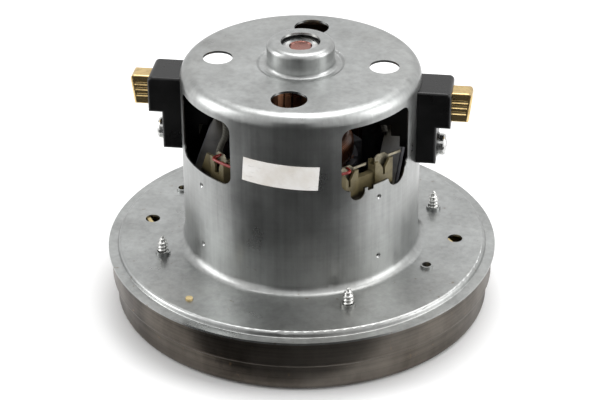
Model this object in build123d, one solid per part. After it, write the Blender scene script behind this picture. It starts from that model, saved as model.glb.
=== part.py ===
from build123d import *
import math
import os

# Vacuum motor unit, standing on the flat bottom of its fan cover.
# Z is the shaft's axis and points up, the two brush holders lie along X,
# and the origin is the centre of the fan cover's bottom face. All sizes are in millimetres.

# Fits: a seat is where pieces of one assembly meet, a run is where one piece turns or slides in another.
seat_gap = 0.02
run_gap = 0.06
rest_gap = 0.3
overrun = 2.0
straight_share = 1e-6

# Motor frame: one steel sheet drawn into a can with a bearing boss on top and a wide flange below.
sheet = 0.8
can_radius = 42.0
can_top = 91.1
shoulder_bend = 4.3
boss_radius = 11.8
boss_top = 99.1
boss_bend = 2.0
boss_foot_bend = 1.2
boss_hole_radius = 6.9
recess_radius = 15.4
recess_depth = 0.6
recess_slope = 0.9
recess_bend = 0.9
flange_top = 22.8
flange_radius = 66.0
can_foot_bend = 3.0
joggle_drop = 1.8
joggle_slope = 0.6
joggle_bend = 1.2
joggle_foot_bend = 0.3
lip_radius = 69.9

# Holes in the can's top: two on the brush line and two larger ones across it.
brush_line_hole_radius = 5.2
brush_line_hole_place = 29.1
cross_hole_radius = 6.2
cross_hole_place = 28.6

# Air windows in the can's wall. The notched pair shows the feet of the terminal pockets.
window_angles = (-42.4, 137.6, -137.6, 42.4)
notched_window_count = 2
window_half_angle = 20.9
window_low = 61.3
window_high = 85.2
window_corner = 3.6
notch_low = 57.4
outer_notch_angle = -12.6
outer_notch_radius = 2.7
inner_notch_angle = 11.6
inner_notch_radius = 4.6
lance_angle = -5.6
lance_width = 2.4
lance_depth = 1.3

# Staking dimples that hold the stator core in the can.
dimple_angles = (-43.0, 43.0, -137.0, 137.0)
dimple_radius = 1.3
dimple_depth = 0.5
dimple_inset = 1.0

# Flange holes, by radius and angle.
screw_circle = 51.5
screw_angles = (26.9, -64.2, -156.0, 115.5)
screw_collar_radius = 2.65
screw_collar_height = 1.0
spare_collar_circles = (50.3, 54.5)
spare_collar_angles = (-21.2, 153.0)
spare_collar_radius = 2.2
spare_collar_height = 0.9
spare_hole_radius = 1.6
fixing_hole_radius = 2.65
fixing_hole_spacing = 110.9
fixing_hole_forward = 2.4
pin_circle = 59.5
pin_angles = (-122.7, 57.3)
pin_radius = 1.25
pin_foot_radius = 2.2
pin_rise = 0.8

# Fan cover: a drawn steel cup with a stepped wall and a rolled inlet.
cover_upper_radius = 68.8
cover_lower_radius = 67.3
cover_step_top = 10.6
cover_step_drop = 1.0
cover_step_bend = 1.0
cover_step_foot_bend = 0.3
cover_foot_bend = 2.2
inlet_radius = 19.5
inlet_bend = 1.6
inlet_rise = 3.2

# Deep groove ball bearings on both ends of the shaft.
bearing_bore_radius = 4.0
bearing_radius = 11.0
bearing_width = 7.0
ball_radius = 1.985
ball_circle = 7.5
ball_count = 7
inner_ring_radius = 6.3
outer_ring_bore = 8.75
groove_radius = 2.06
shield_seat_radius = 9.25
shield_inner_radius = 6.6
shield_sheet = 0.3
shield_inset = 0.2
bearing_edge = 0.6
cage_sheet = 1.2
cage_height = 5.0
lower_bearing_low = 16.0
upper_bearing_low = 90.4
washer_sheet = 0.25
washer_bore_radius = 8.0
washer_edge_gap = 0.25

# Bearing bracket: a pressed steel spider under the flange, with a cup for the lower bearing.
bracket_sheet = 1.2
bracket_ring_radius = 48.0
bracket_window_radius = 43.0
bracket_hub_radius = 15.5
bracket_arm_width = 10.0
bracket_ear_radius = 5.4
cup_hole_radius = 8.0
cup_inner_bend = 0.5
cup_outer_bend = 1.8

# Diffuser: a moulded plate with vanes on both sides.
diffuser_low = 13.4
diffuser_plate = 1.4
diffuser_hole_radius = 13.5
diffuser_radius = 63.0
vane = 1.4
outlet_vane_count = 15
outlet_vane_inner = 58.2
outlet_vane_outer = 66.2
outlet_vane_low = 5.2
outlet_vane_sweep_angle = 14.0
outlet_toe_outer = 67.7
return_vane_count = 12
return_vane_inner = 49.6
return_vane_outer = 61.0
return_vane_sweep_angle = 17.0
return_vane_phase_angle = 7.5
vane_bow_share = 0.06
boss_wall_radius = 5.2
head_recess_radius = 3.9

# Self-tapping screws, driven from below, with their points above the flange.
screw_core_radius = 1.45
screw_thread_radius = 1.95
screw_pitch = 1.4
screw_head_radius = 3.5
screw_head_height = 2.3
screw_tip_rise = 7.0
screw_point = 3.2
screw_point_radius = 0.35
screw_recess_radius = 2.2
screw_recess_width = 0.9
screw_recess_depth = 1.4

# Stator: laminated core with two poles, coils round the poles and insulators on both faces.
core_low = 33.5
core_height = 21.5
core_side_flat = 36.0
stator_bore = 20.5
pole_half_width = 12.4
pole_shoe_radius = 24.0
pole_shoe_half_angle = 57.0
cavity_reach = 28.0
cavity_depth = 31.0
cavity_corner = 6.0
insulator_plate = 1.5
insulator_edge = 40.4
insulator_side = 35.0
insulator_bore = 21.2
insulator_wall = 0.8
insulator_wall_height = 5.5
insulator_inner_wall_half = 11.0
insulator_outer_wall_half = 14.0
coil_inner_half = 13.0
coil_near = 22.5
coil_far = 30.0
coil_build = 5.0
coil_lift = 0.2
coil_corner = 6.0
coil_inner_corner = 1.2
turn_wire_radius = 0.275
turn_pitch = 0.97

# Terminal pockets on the upper insulator, each given by its diagonal and its place along it.
pocket_angles = (-45.0, -45.0, -135.0)
pocket_shifts = (-8.6, 6.4, 3.0)
pocket_slots = (0.9, 0.9, 2.4)
pocket_circle = 39.7
pocket_near = 34.4
pocket_far = 38.4
pocket_width = 7.6
pocket_wall = 0.9
pocket_top = 67.0
pocket_floor = 59.0
notch_width = 4.6
notch_depth = 3.0
slot_low = 61.4
bridge_top = 63.2
gusset_run = 10.0
gusset_shoulder = 5.5
gusset_top = 64.6
blade_sheet = 0.4
blade_width = 5.4
blade_corner = 1.2
blade_low = 60.0
blade_rise = 1.8
blade_top = pocket_top + blade_rise
blade_arm = 4.8
blade_arm_height = 0.9
blade_arm_drop = 1.4

# Insulated jumper leads that run inside the can from pocket to pocket.
lead_radius = 0.5
lead_circle = 40.55
lead_rise = 1.0
lead_height = pocket_top + lead_rise
lead_bend = 1.3

# Brush holders: black mouldings on the can's sides, each carrying a brass tube along X.
holder_half_width = 8.0
holder_top = 85.8
holder_split = 72.2
holder_low = 58.2
holder_reach = 53.0
holder_foot_reach = 48.2
holder_edge = 1.1
holder_top_edge = 1.8
neck_half_width = 6.0
neck_low = 71.6
neck_high = 85.2
neck_inner = 24.0
neck_step_inner = 32.4
neck_step_low = 67.6
neck_foot_inner = 35.4
neck_foot_low = 63.5
tube_low = 73.0
tube_high = 84.0
tube_half_width = 3.5
tube_wall = 0.7
tube_inner = 13.6
tube_reach = 60.2
tube_end_lean = 1.3
tube_edge = 0.6
tube_end_edge = 1.4
tube_crest_edge = 1.8
tube_groove_radius = 0.8
tube_groove_depth = 0.42
tube_groove_places = (76.7, 79.0, 81.0)
holder_screw_height = 62.3
holder_screw_radius = 1.5
holder_screw_head_radius = 3.8
holder_screw_head_height = 2.5
holder_screw_tip = 37.0
holder_screw_flange_radius = 4.2
holder_screw_flange = 0.6

# Carbon brushes, their springs and their shunt wires.
brush_contact_gap = 0.15
brush_length = 28.4
brush_slide_gap = 0.1
spring_radius = 2.05
spring_wire_radius = 0.25
spring_turn_count = 11
spring_end_gap = 0.25
shunt_radius = 0.5

# Rotor: shaft, armature and commutator.
shaft_radius = 4.0
shaft_body_radius = 5.0
shaft_low = 5.2
shaft_top = 97.0
shaft_chamfer = 0.5
armature_radius = 20.0
armature_slot_count = 12
slot_mouth = 2.4
slot_bottom = 10.0
slot_outer = 17.8
slot_inner_half = 1.2
slot_outer_half = 3.1
slot_liner = 0.15
wedge_sheet = 0.7
end_disc = 1.2
end_disc_radius = 9.0
winding_inner = 9.4
winding_outer = 18.6
winding_reach = 8.6
winding_edge = 3.0
lead_cone_inner = 5.6
lead_cone_radius = 10.6
commutator_low = 68.2
commutator_high = 87.0
commutator_radius = 11.5
commutator_hub_radius = 8.6
bar_low = 69.4
bar_high = 86.0
bar_count = 24
bar_gap = 0.5
hook_radius = 13.2
hook_height = 2.2
hook_width = 1.3

# Fan: two spun plates with curved blades between them, clamped on the shaft by washers and a nut.
fan_radius = 56.0
fan_sheet = 1.0
fan_plate_low = 11.2
fan_rim_low = 6.2
fan_eye_radius = 23.3
fan_eye_low = 2.0
fan_cone_low = 3.6
fan_cone_start = 27.0
fan_eye_bend = 1.3
fan_cone_bend = 6.0
blade_count = 7
fan_blade_inner = 25.0
fan_blade_sweep_angle = 62.0
fan_blade_bow_share = 0.16
fan_washer = 1.0
fan_washer_radius = 11.0
fan_spacer_radius = 5.6
nut_flats = 13.0
nut_height = 4.8
nut_chamfer = 0.8

# Blank paper label on the can.
label_angle = -92.0
label_width = 26.0
label_height = 8.8
label_centre = 69.0
label_tilt_angle = -4.2
label_sheet = 0.12

lip_top = flange_top - joggle_drop
lip_low = lip_top - sheet
flange_low = flange_top - sheet
can_bore = can_radius - sheet
core_high = core_low + core_height
insulator_top_face = core_high + insulator_plate
insulator_bottom_face = core_low - insulator_plate
diffuser_high = diffuser_low + diffuser_plate
bracket_low = flange_low - bracket_sheet
ring_floor = can_top - recess_depth
tube_middle = (tube_low + tube_high) / 2
tube_cavity_end = tube_reach - tube_end_lean - tube_wall
bearing_seat_top = boss_top - sheet


def at(radius, angle, height=0.0):
    """A point given by its distance from the shaft's axis, its angle and its height."""
    turn = math.radians(angle)
    return Vector(radius * math.cos(turn), radius * math.sin(turn), height)


def disc(radius, low, high):
    """A solid cylinder round Z from one height to another."""
    return Pos(0, 0, low) * extrude(Circle(radius), high - low)


def ring(inner, outer, low, high):
    """A plain tube round Z from one height to another."""
    return Pos(0, 0, low) * extrude(Circle(outer) - Circle(inner), high - low)


def block(x_low, x_high, y_low, y_high, z_low, z_high):
    """A box given by its two ends on each axis."""
    middle = Pos((x_low + x_high) / 2, (y_low + y_high) / 2, (z_low + z_high) / 2)
    return middle * Box(x_high - x_low, y_high - y_low, z_high - z_low)


def turned(points):
    """A solid turned round Z from an outline of radius and height."""
    return revolve(Plane.XZ * make_face(Polyline(*points, close=True)), axis=Axis.Z)


def copies(piece, count, phase=0.0):
    """Copies of a piece, evenly spaced round Z."""
    step = 360 / count
    return [Rot(0, 0, phase + step * number) * piece for number in range(count)]


def joined(pieces):
    """Several shapes as one."""
    whole = pieces[0]
    for piece in pieces[1:]:
        whole = whole + piece
    return whole


def unit(start, end):
    """The direction from one outline point to the next."""
    run = math.dist(start, end)
    return ((end[0] - start[0]) / run, (end[1] - start[1]) / run)


def rounded_path(points, bends):
    """Edges of an open outline whose corners are rounded by tangent arcs."""
    edges = []
    start = Vector(*points[0])
    for number, bend in enumerate(bends):
        corner = Vector(*points[number + 1])
        arriving = Vector(*unit(points[number], points[number + 1]))
        leaving = Vector(*unit(points[number + 1], points[number + 2]))
        half_turn = math.radians(arriving.get_angle(leaving)) / 2
        reach = bend * math.tan(half_turn)
        first, last = corner - arriving * reach, corner + leaving * reach
        middle = corner + (leaving - arriving).normalized() * (bend / math.cos(half_turn) - bend)
        edges += [Edge.make_line(start, first), Edge.make_three_point_arc(first, middle, last)]
        start = last
    edges.append(Edge.make_line(start, Vector(*points[-1])))
    return edges


def drawn_sheet(points, bends, thickness):
    """Sheet metal of even thickness turned round Z, laid on the right of its outline."""
    runs = [unit(start, end) for start, end in zip(points, points[1:])]
    sides = [(across, -along) for along, across in runs]
    far_points = [(points[0][0] + sides[0][0] * thickness, points[0][1] + sides[0][1] * thickness)]
    far_bends = []
    for number, bend in enumerate(bends):
        first, second = sides[number], sides[number + 1]
        reach = thickness / (1 + first[0] * second[0] + first[1] * second[1])
        corner = points[number + 1]
        shift = ((first[0] + second[0]) * reach, (first[1] + second[1]) * reach)
        far_points.append((corner[0] + shift[0], corner[1] + shift[1]))
        turn = runs[number][0] * runs[number + 1][1] - runs[number][1] * runs[number + 1][0]
        far_bends.append(bend + math.copysign(thickness, turn))
    far_points.append((points[-1][0] + sides[-1][0] * thickness, points[-1][1] + sides[-1][1] * thickness))
    ends = [
        Edge.make_line(Vector(*near), Vector(*far))
        for near, far in ((points[0], far_points[0]), (points[-1], far_points[-1]))
    ]
    outline = make_face(rounded_path(points, bends) + rounded_path(far_points, far_bends) + ends)
    return revolve(Plane.XZ * outline, axis=Axis.Z)


def wall_plane(angle, height):
    """A plane that faces outwards from the shaft's axis at an angle, with its up along Z."""
    outward = at(1, angle)
    return Plane(origin=(0, 0, height), x_dir=(-outward.Y, outward.X, 0), z_dir=outward)


def window_cutter(angle, notched):
    """The punch for one air window, pushed through the can's wall."""
    width = 2 * can_radius * math.sin(math.radians(window_half_angle))
    height = window_high - window_low
    hole = Pos(0, height / 2) * RectangleRounded(width, height, window_corner)
    if notched:
        for turn, size in ((outer_notch_angle, outer_notch_radius), (inner_notch_angle, inner_notch_radius)):
            across = can_radius * math.sin(math.radians(turn))
            low = notch_low - window_low
            rise = window_corner - low - size
            hole += Pos(across, low + size) * Circle(size)
            hole += Pos(across, low + size + rise / 2) * Rectangle(2 * size, rise)
        across = can_radius * math.sin(math.radians(lance_angle))
        drop = window_corner + lance_depth
        hole += Pos(across, drop / 2 - lance_depth) * Rectangle(lance_width, drop)
    return extrude(wall_plane(angle, window_low) * hole, can_radius + overrun)


def make_motor_frame():
    """The drawn can, boss and flange with all their holes."""
    outline = [
        (boss_hole_radius, boss_top),
        (boss_radius, boss_top),
        (boss_radius, ring_floor),
        (recess_radius - recess_slope, ring_floor),
        (recess_radius, can_top),
        (can_radius, can_top),
        (can_radius, flange_top),
        (flange_radius, flange_top),
        (flange_radius + joggle_slope, lip_top),
        (lip_radius, lip_top),
    ]
    bends = [
        boss_bend,
        boss_foot_bend,
        recess_bend,
        recess_bend,
        shoulder_bend,
        can_foot_bend,
        joggle_bend,
        joggle_foot_bend,
    ]
    frame = drawn_sheet(outline, bends, sheet)
    brush_line_hole = Pos(brush_line_hole_place, 0, 0) * disc(brush_line_hole_radius, window_high, boss_top)
    cross_hole = Pos(0, cross_hole_place, 0) * disc(cross_hole_radius, window_high, boss_top)
    for hole in copies(brush_line_hole, 2) + copies(cross_hole, 2):
        frame -= hole
    for number, angle in enumerate(window_angles):
        frame -= window_cutter(angle, number < notched_window_count)
    neck = block(
        can_radius / 2,
        can_radius + overrun,
        -neck_half_width - rest_gap / 2,
        neck_half_width + rest_gap / 2,
        neck_foot_low - rest_gap / 2,
        neck_high + rest_gap / 2,
    )
    screw_hole = Pos(0, 0, holder_screw_height) * Rot(0, 90, 0) * disc(
        holder_screw_radius + run_gap, can_radius / 2, can_radius + overrun
    )
    for cutter in copies(neck, 2) + copies(screw_hole, 2):
        frame -= cutter
    for angle in dimple_angles:
        for height in (core_high + dimple_inset, core_low - dimple_inset):
            centre = at(can_radius + dimple_radius - dimple_depth, angle, height)
            frame -= Pos(centre) * Sphere(dimple_radius)
    for angle in screw_angles:
        place = Pos(at(screw_circle, angle))
        frame += place * disc(screw_collar_radius, flange_low, flange_top + screw_collar_height)
        frame -= place * disc(screw_thread_radius + run_gap, flange_low - overrun, can_top)
    for radius, angle in zip(spare_collar_circles, spare_collar_angles):
        place = Pos(at(radius, angle))
        frame += place * disc(spare_collar_radius, flange_low, flange_top + spare_collar_height)
        frame -= place * disc(spare_hole_radius, flange_low - overrun, can_top)
    for side in (-1, 1):
        place = Pos(side * fixing_hole_spacing / 2, fixing_hole_forward, 0)
        frame -= place * disc(fixing_hole_radius, flange_low - overrun, flange_top + overrun)
    for angle in pin_angles:
        frame -= Pos(at(pin_circle, angle)) * disc(pin_radius + rest_gap / 2, flange_low - overrun, can_top)
    return frame


def make_fan_cover():
    """The drawn cup that shuts the fan in."""
    outline = [
        (cover_upper_radius, lip_low),
        (cover_upper_radius, cover_step_top),
        (cover_lower_radius, cover_step_top - cover_step_drop),
        (cover_lower_radius, 0),
        (inlet_radius, 0),
        (inlet_radius, inlet_rise),
    ]
    bends = [cover_step_bend, cover_step_foot_bend, cover_foot_bend, inlet_bend]
    return drawn_sheet(outline, bends, sheet)


def make_bearing_bracket():
    """The spider with its bearing cup and four screw ears."""
    cup = bearing_radius + seat_gap
    outline = [
        (cup_hole_radius, lower_bearing_low),
        (cup, lower_bearing_low),
        (cup, flange_low),
        (bracket_ring_radius, flange_low),
    ]
    bracket = drawn_sheet(outline, [cup_inner_bend, cup_outer_bend], bracket_sheet)
    windows = Circle(bracket_window_radius) - Circle(bracket_hub_radius)
    for angle in screw_angles:
        place = Pos(at(screw_circle, angle))
        bracket += place * disc(bracket_ear_radius, bracket_low, flange_low)
        windows -= Rot(0, 0, angle) * Pos(screw_circle / 2, 0) * Rectangle(screw_circle, bracket_arm_width)
    depth = flange_low - lower_bearing_low + 2 * overrun
    bracket -= Pos(0, 0, lower_bearing_low - overrun) * extrude(windows, depth)
    for angle in screw_angles:
        hole = disc(screw_thread_radius + run_gap, bracket_low - overrun, flange_low + overrun)
        bracket -= Pos(at(screw_circle, angle)) * hole
    return bracket


def curved_vane(inner, outer, sweep, bow_share, thickness):
    """The plan of one vane: a bowed strip from one radius to another, starting at angle zero."""
    start, end = at(inner, 0), at(outer, sweep)
    run = end - start
    middle = (start + end) / 2 + Vector(run.Y, -run.X, 0) * bow_share
    return trace(ThreePointArc(start, middle, end), line_width=thickness)


def make_diffuser():
    """The vane plate with screw bosses and locating pins."""
    plate = ring(diffuser_hole_radius, diffuser_radius, diffuser_low, diffuser_high)
    outlet = curved_vane(outlet_vane_inner, outlet_vane_outer, outlet_vane_sweep_angle, vane_bow_share, vane)
    toe_share = (outlet_toe_outer - outlet_vane_inner) / (outlet_vane_outer - outlet_vane_inner)
    toe_sweep = outlet_vane_sweep_angle * toe_share
    toe = curved_vane(outlet_vane_inner, outlet_toe_outer, toe_sweep, vane_bow_share, vane)
    returned = curved_vane(
        return_vane_inner, return_vane_outer, -return_vane_sweep_angle, -vane_bow_share, vane)
    outlet_solid = Pos(0, 0, outlet_vane_low) * extrude(outlet, diffuser_high - outlet_vane_low)
    toe_solid = Pos(0, 0, cover_step_top + rest_gap) * extrude(toe, diffuser_high - cover_step_top - rest_gap)
    toe_solid &= disc(outlet_toe_outer, 0, can_top)
    outlet_solid &= disc(outlet_vane_outer, 0, can_top)
    return_solid = Pos(0, 0, diffuser_low) * extrude(returned, flange_low - seat_gap - diffuser_low)
    pieces = [plate]
    pieces += copies(outlet_solid, outlet_vane_count)
    pieces += copies(toe_solid, outlet_vane_count)
    pieces += copies(return_solid, return_vane_count, return_vane_phase_angle)
    for angle in screw_angles:
        pieces.append(Pos(at(screw_circle, angle)) * disc(boss_wall_radius, diffuser_low, bracket_low))
    for angle in pin_angles:
        place = Pos(at(pin_circle, angle))
        pieces.append(place * disc(pin_foot_radius, diffuser_low, flange_low - seat_gap))
        pieces.append(place * disc(pin_radius, diffuser_low, flange_top + pin_rise))
    body = joined(pieces)
    ears = joined([Pos(at(screw_circle, angle)) * disc(
        bracket_ear_radius + rest_gap, bracket_low, flange_low) for angle in screw_angles])
    body -= ears
    for angle in screw_angles:
        place = Pos(at(screw_circle, angle))
        seat = diffuser_low + screw_head_height + seat_gap
        body -= place * disc(head_recess_radius, diffuser_low - overrun, seat)
        body -= place * disc(screw_thread_radius + run_gap, diffuser_low, flange_top)
    return body


def screw_profile(shank_low, tip, thread_start):
    """Half outline of a pointed self-tapping screw above its head."""
    outline = [(0, shank_low), (screw_core_radius, shank_low)]
    height = thread_start
    point_start = tip - screw_point
    while height + screw_pitch <= tip - screw_point_radius:
        lean = max(0.0, (height - point_start) / screw_point)
        upper_lean = max(0.0, (height + screw_pitch / 2 - point_start) / screw_point)
        root = screw_core_radius - (screw_core_radius - screw_point_radius) * lean
        crest = screw_thread_radius - (screw_thread_radius - screw_point_radius) * upper_lean
        outline += [(root, height), (crest, height + screw_pitch / 2)]
        height += screw_pitch
    outline += [(screw_point_radius, height), (0, tip)]
    return outline


def cross_recess():
    """The cross-shaped driver recess, cut downwards from height zero."""
    cross = Rectangle(2 * screw_recess_radius, screw_recess_width)
    cross += Rectangle(screw_recess_width, 2 * screw_recess_radius)
    return extrude(cross, -screw_recess_depth)


def make_diffuser_screws():
    """Four identical screws, heads down, that clamp diffuser, bracket and flange."""
    head_low = diffuser_low + seat_gap
    head_high = head_low + screw_head_height - seat_gap
    tip = flange_top + screw_tip_rise
    head = disc(screw_head_radius, head_low, head_high)
    head = fillet(head.edges().sort_by(Axis.Z)[0], screw_head_height / 2)
    head -= Pos(0, 0, head_low) * Rot(180, 0, 0) * cross_recess()
    shank = turned(screw_profile(head_high - seat_gap, tip, head_high))
    screw = head + shank
    return [Pos(at(screw_circle, angle)) * screw for angle in screw_angles]


def bearing_parts(low):
    """Outer ring, inner ring, balls, cage and shields of one bearing."""
    middle = low + bearing_width / 2
    high = low + bearing_width
    races = Pos(0, 0, middle) * Torus(ball_circle, groove_radius)
    outer = disc(bearing_radius, low, high)
    outer = fillet(outer.edges().filter_by(GeomType.CIRCLE), bearing_edge)
    outer = outer - disc(outer_ring_bore, low, high) - races
    shield_depth = shield_inset + shield_sheet
    outer -= disc(shield_seat_radius, low, low + shield_depth)
    outer -= disc(shield_seat_radius, high - shield_depth, high)
    inner = ring(bearing_bore_radius + seat_gap, inner_ring_radius, low, high) - races
    balls = copies(Pos(ball_circle, 0, middle) * Sphere(ball_radius), ball_count, 180 / ball_count)
    half_cage = cage_height / 2
    half_wall = cage_sheet / 2
    cage = ring(ball_circle - half_wall, ball_circle + half_wall, middle - half_cage, middle + half_cage)
    bore = Pos(0, 0, middle) * Rot(0, 90, 0) * disc(groove_radius, inner_ring_radius, bearing_radius)
    for pocket in copies(bore, ball_count, 180 / ball_count):
        cage -= pocket
    shield_edge = shield_seat_radius - seat_gap
    shields = [
        ring(shield_inner_radius, shield_edge, low + shield_inset, low + shield_depth),
        ring(shield_inner_radius, shield_edge, high - shield_depth, high - shield_inset),
    ]
    return {"outer": outer, "inner": inner, "balls": balls, "cage": cage, "shields": shields}


def make_preload_washer():
    """The dished spring washer between the boss and the upper bearing."""
    low = upper_bearing_low + bearing_width + seat_gap
    high = bearing_seat_top - seat_gap
    outer = bearing_radius - washer_edge_gap
    return turned([
        (outer, low),
        (outer, low + washer_sheet),
        (washer_bore_radius, high),
        (washer_bore_radius, high - washer_sheet),
    ])


def pole_gaps():
    """Plan of the two wide gaps beside the poles."""
    reach = cavity_reach - pole_half_width
    gap = Pos(pole_half_width + reach / 2, 0) * Rectangle(reach, 2 * cavity_depth)
    gap = fillet(gap.vertices().sort_by(Axis.X)[-2:], cavity_corner)
    return gap + Rot(0, 0, 180) * gap


def make_stator_core():
    """The laminated core: yoke, two poles along Y and a wide gap beside each pole."""
    outline = Circle(can_bore - seat_gap) & Rectangle(2 * core_side_flat, 2 * can_radius)
    tips = []
    for middle in (90, -90):
        wedge = Polyline(
            (0, 0),
            at(2 * can_radius, middle - pole_shoe_half_angle),
            at(2 * can_radius, middle),
            at(2 * can_radius, middle + pole_shoe_half_angle),
            close=True,
        )
        tips.append(make_face(wedge))
    shoes = (Circle(pole_shoe_radius) & tips[0]) + (Circle(pole_shoe_radius) & tips[1])
    section = outline - pole_gaps() + shoes - Circle(stator_bore)
    return Pos(0, 0, core_low) * extrude(section, core_height)


def insulator_plate_plan():
    """Plan of the moulded plate on each face of the core, open for bore and coils."""
    outline = Circle(insulator_edge) & Rectangle(2 * insulator_side, 2 * can_radius)
    return outline - pole_gaps() - Circle(insulator_bore)


def coil_walls(face, height):
    """Walls that stand on an insulator plate before and behind each coil."""
    walls = []
    for side in (-1, 1):
        near = sorted((side * coil_near - side * rest_gap, side * (coil_near - rest_gap - insulator_wall)))
        far = sorted((side * (coil_far + rest_gap), side * (coil_far + rest_gap + insulator_wall)))
        ends = sorted((face, height))
        walls.append(block(-insulator_inner_wall_half, insulator_inner_wall_half, *near, *ends))
        walls.append(block(-insulator_outer_wall_half, insulator_outer_wall_half, *far, *ends))
    return joined(walls)


def pocket_front(slot):
    """Outline of a pocket wall seen from outside, with its notch and wire slot."""
    half = pocket_width / 2
    lip = notch_width / 2
    slit = slot / 2
    return make_face(Polyline(
        (-half, core_high),
        (-half, pocket_top),
        (-lip, pocket_top),
        (-slit, pocket_top - notch_depth),
        (-slit, slot_low),
        (slit, slot_low),
        (slit, pocket_top - notch_depth),
        (lip, pocket_top),
        (half, pocket_top),
        (half, core_high),
        close=True,
    ))


def make_pocket(angle, along, slot):
    """One open pocket: two notched walls, two cheeks and a floor, on a diagonal of the can."""
    facing = wall_plane(angle, 0)
    place = Pos(along, 0, 0)
    wall = pocket_front(slot)
    front = facing * place * Pos(0, 0, pocket_far - pocket_wall) * extrude(wall, pocket_wall)
    back = facing * place * Pos(0, 0, pocket_near) * extrude(wall, pocket_wall)
    depth = pocket_far - pocket_near
    half = pocket_width / 2
    cheeks = []
    for side in (-1, 1):
        middle = Pos(side * (half - pocket_wall / 2), (core_high + pocket_top - notch_depth / 2) / 2)
        cheek = middle * Rectangle(pocket_wall, pocket_top - notch_depth / 2 - core_high)
        cheeks.append(facing * place * Pos(0, 0, pocket_near) * extrude(cheek, depth))
    floor = Pos(0, (core_high + pocket_floor) / 2) * Rectangle(pocket_width, pocket_floor - core_high)
    base = facing * place * Pos(0, 0, pocket_near) * extrude(floor, depth)
    return joined([front, back, base] + cheeks)


def make_insulator_top():
    """The upper insulator with coil walls and terminal pockets."""
    plate = Pos(0, 0, core_high) * extrude(insulator_plate_plan(), insulator_plate)
    body = plate + coil_walls(core_high, insulator_top_face + insulator_wall_height)
    pockets = [
        make_pocket(angle, along, slot)
        for angle, along, slot in zip(pocket_angles, pocket_shifts, pocket_slots)
    ]
    facing = wall_plane(pocket_angles[0], 0)
    middle = (pocket_shifts[0] + pocket_shifts[1]) / 2
    width = pocket_shifts[1] - pocket_shifts[0] - pocket_width + 2 * pocket_wall
    depth = pocket_far - pocket_near - 2 * pocket_wall
    span = Pos(middle, (core_high + bridge_top) / 2) * Rectangle(width, bridge_top - core_high)
    bridge = facing * Pos(0, 0, pocket_near + pocket_wall) * extrude(span, depth)
    edge = pocket_shifts[-1] - pocket_width / 2
    gusset = make_face(Polyline(
        (edge - gusset_run, core_high),
        (edge + pocket_wall, core_high),
        (edge + pocket_wall, gusset_top),
        (edge - gusset_shoulder, gusset_top),
        close=True,
    ))
    behind = wall_plane(pocket_angles[-1], 0) * Pos(0, 0, pocket_near + pocket_wall)
    gusset = behind * extrude(gusset, pocket_wall)
    front = joined(pockets + [bridge, gusset]) & disc(pocket_circle, 0, can_top)
    return body + front + Rot(0, 0, 180) * front


def make_insulator_bottom():
    """The lower insulator, with walls that hang round the coil ends."""
    plate = Pos(0, 0, insulator_bottom_face) * extrude(insulator_plate_plan(), insulator_plate)
    return plate + coil_walls(core_low, insulator_bottom_face - insulator_wall_height)


def make_coil():
    """The body of the rear field coil: a flat wound frame round its pole."""
    low = insulator_bottom_face - coil_lift
    high = insulator_top_face + coil_lift
    middle = (low + high) / 2
    outer = RectangleRounded(2 * (coil_inner_half + coil_build), high - low + 2 * coil_build, coil_corner)
    inner = RectangleRounded(2 * coil_inner_half, high - low, coil_inner_corner)
    facing = Plane(origin=(0, coil_near, middle), x_dir=(-1, 0, 0), z_dir=(0, 1, 0))
    return extrude(facing * (outer - inner), coil_far - coil_near)


def biarc(start, start_way, end, end_way):
    """Two arcs that leave one point and reach the next along given directions."""
    gap = end - start
    ways = start_way + end_way
    spread = 2 - 2 * start_way.dot(end_way)
    reach = gap.dot(ways)
    length = gap.dot(gap) / (reach + math.sqrt(reach * reach + spread * gap.dot(gap)))
    first, last = start + start_way * length, end - end_way * length
    middle = (first + last) / 2
    across = (last - first).normalized()
    return [Edge.make_tangent_arc(start, start_way, middle), Edge.make_tangent_arc(middle, across, end)]


def tube_along(stations, radius):
    """One unbroken round tube through points with directions, on straight runs and arcs."""
    edges = []
    for (start, start_way), (end, end_way) in zip(stations, stations[1:]):
        straight = (end - start).normalized()
        if straight.cross(start_way).length + straight.cross(end_way).length < straight_share:
            edges.append(Edge.make_line(start, end))
        else:
            edges += biarc(start, start_way, end, end_way)
    section = Plane(origin=stations[0][0], z_dir=stations[0][1]) * Circle(radius)
    return sweep(section, path=Wire(edges))


def least_gap(stations, radius, skip):
    """Least clear distance of a tube to itself, measured between points of its stations and runs."""
    points = [station[0] for station in stations]
    middles = [(start + end) / 2 for start, end in zip(points, points[1:])]
    dense = [point for pair in zip(points, middles) for point in pair]
    gaps = [
        (first - second).length
        for number, first in enumerate(dense)
        for second in dense[number + 2 * skip:]
    ]
    return min(gaps) - 2 * radius


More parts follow.
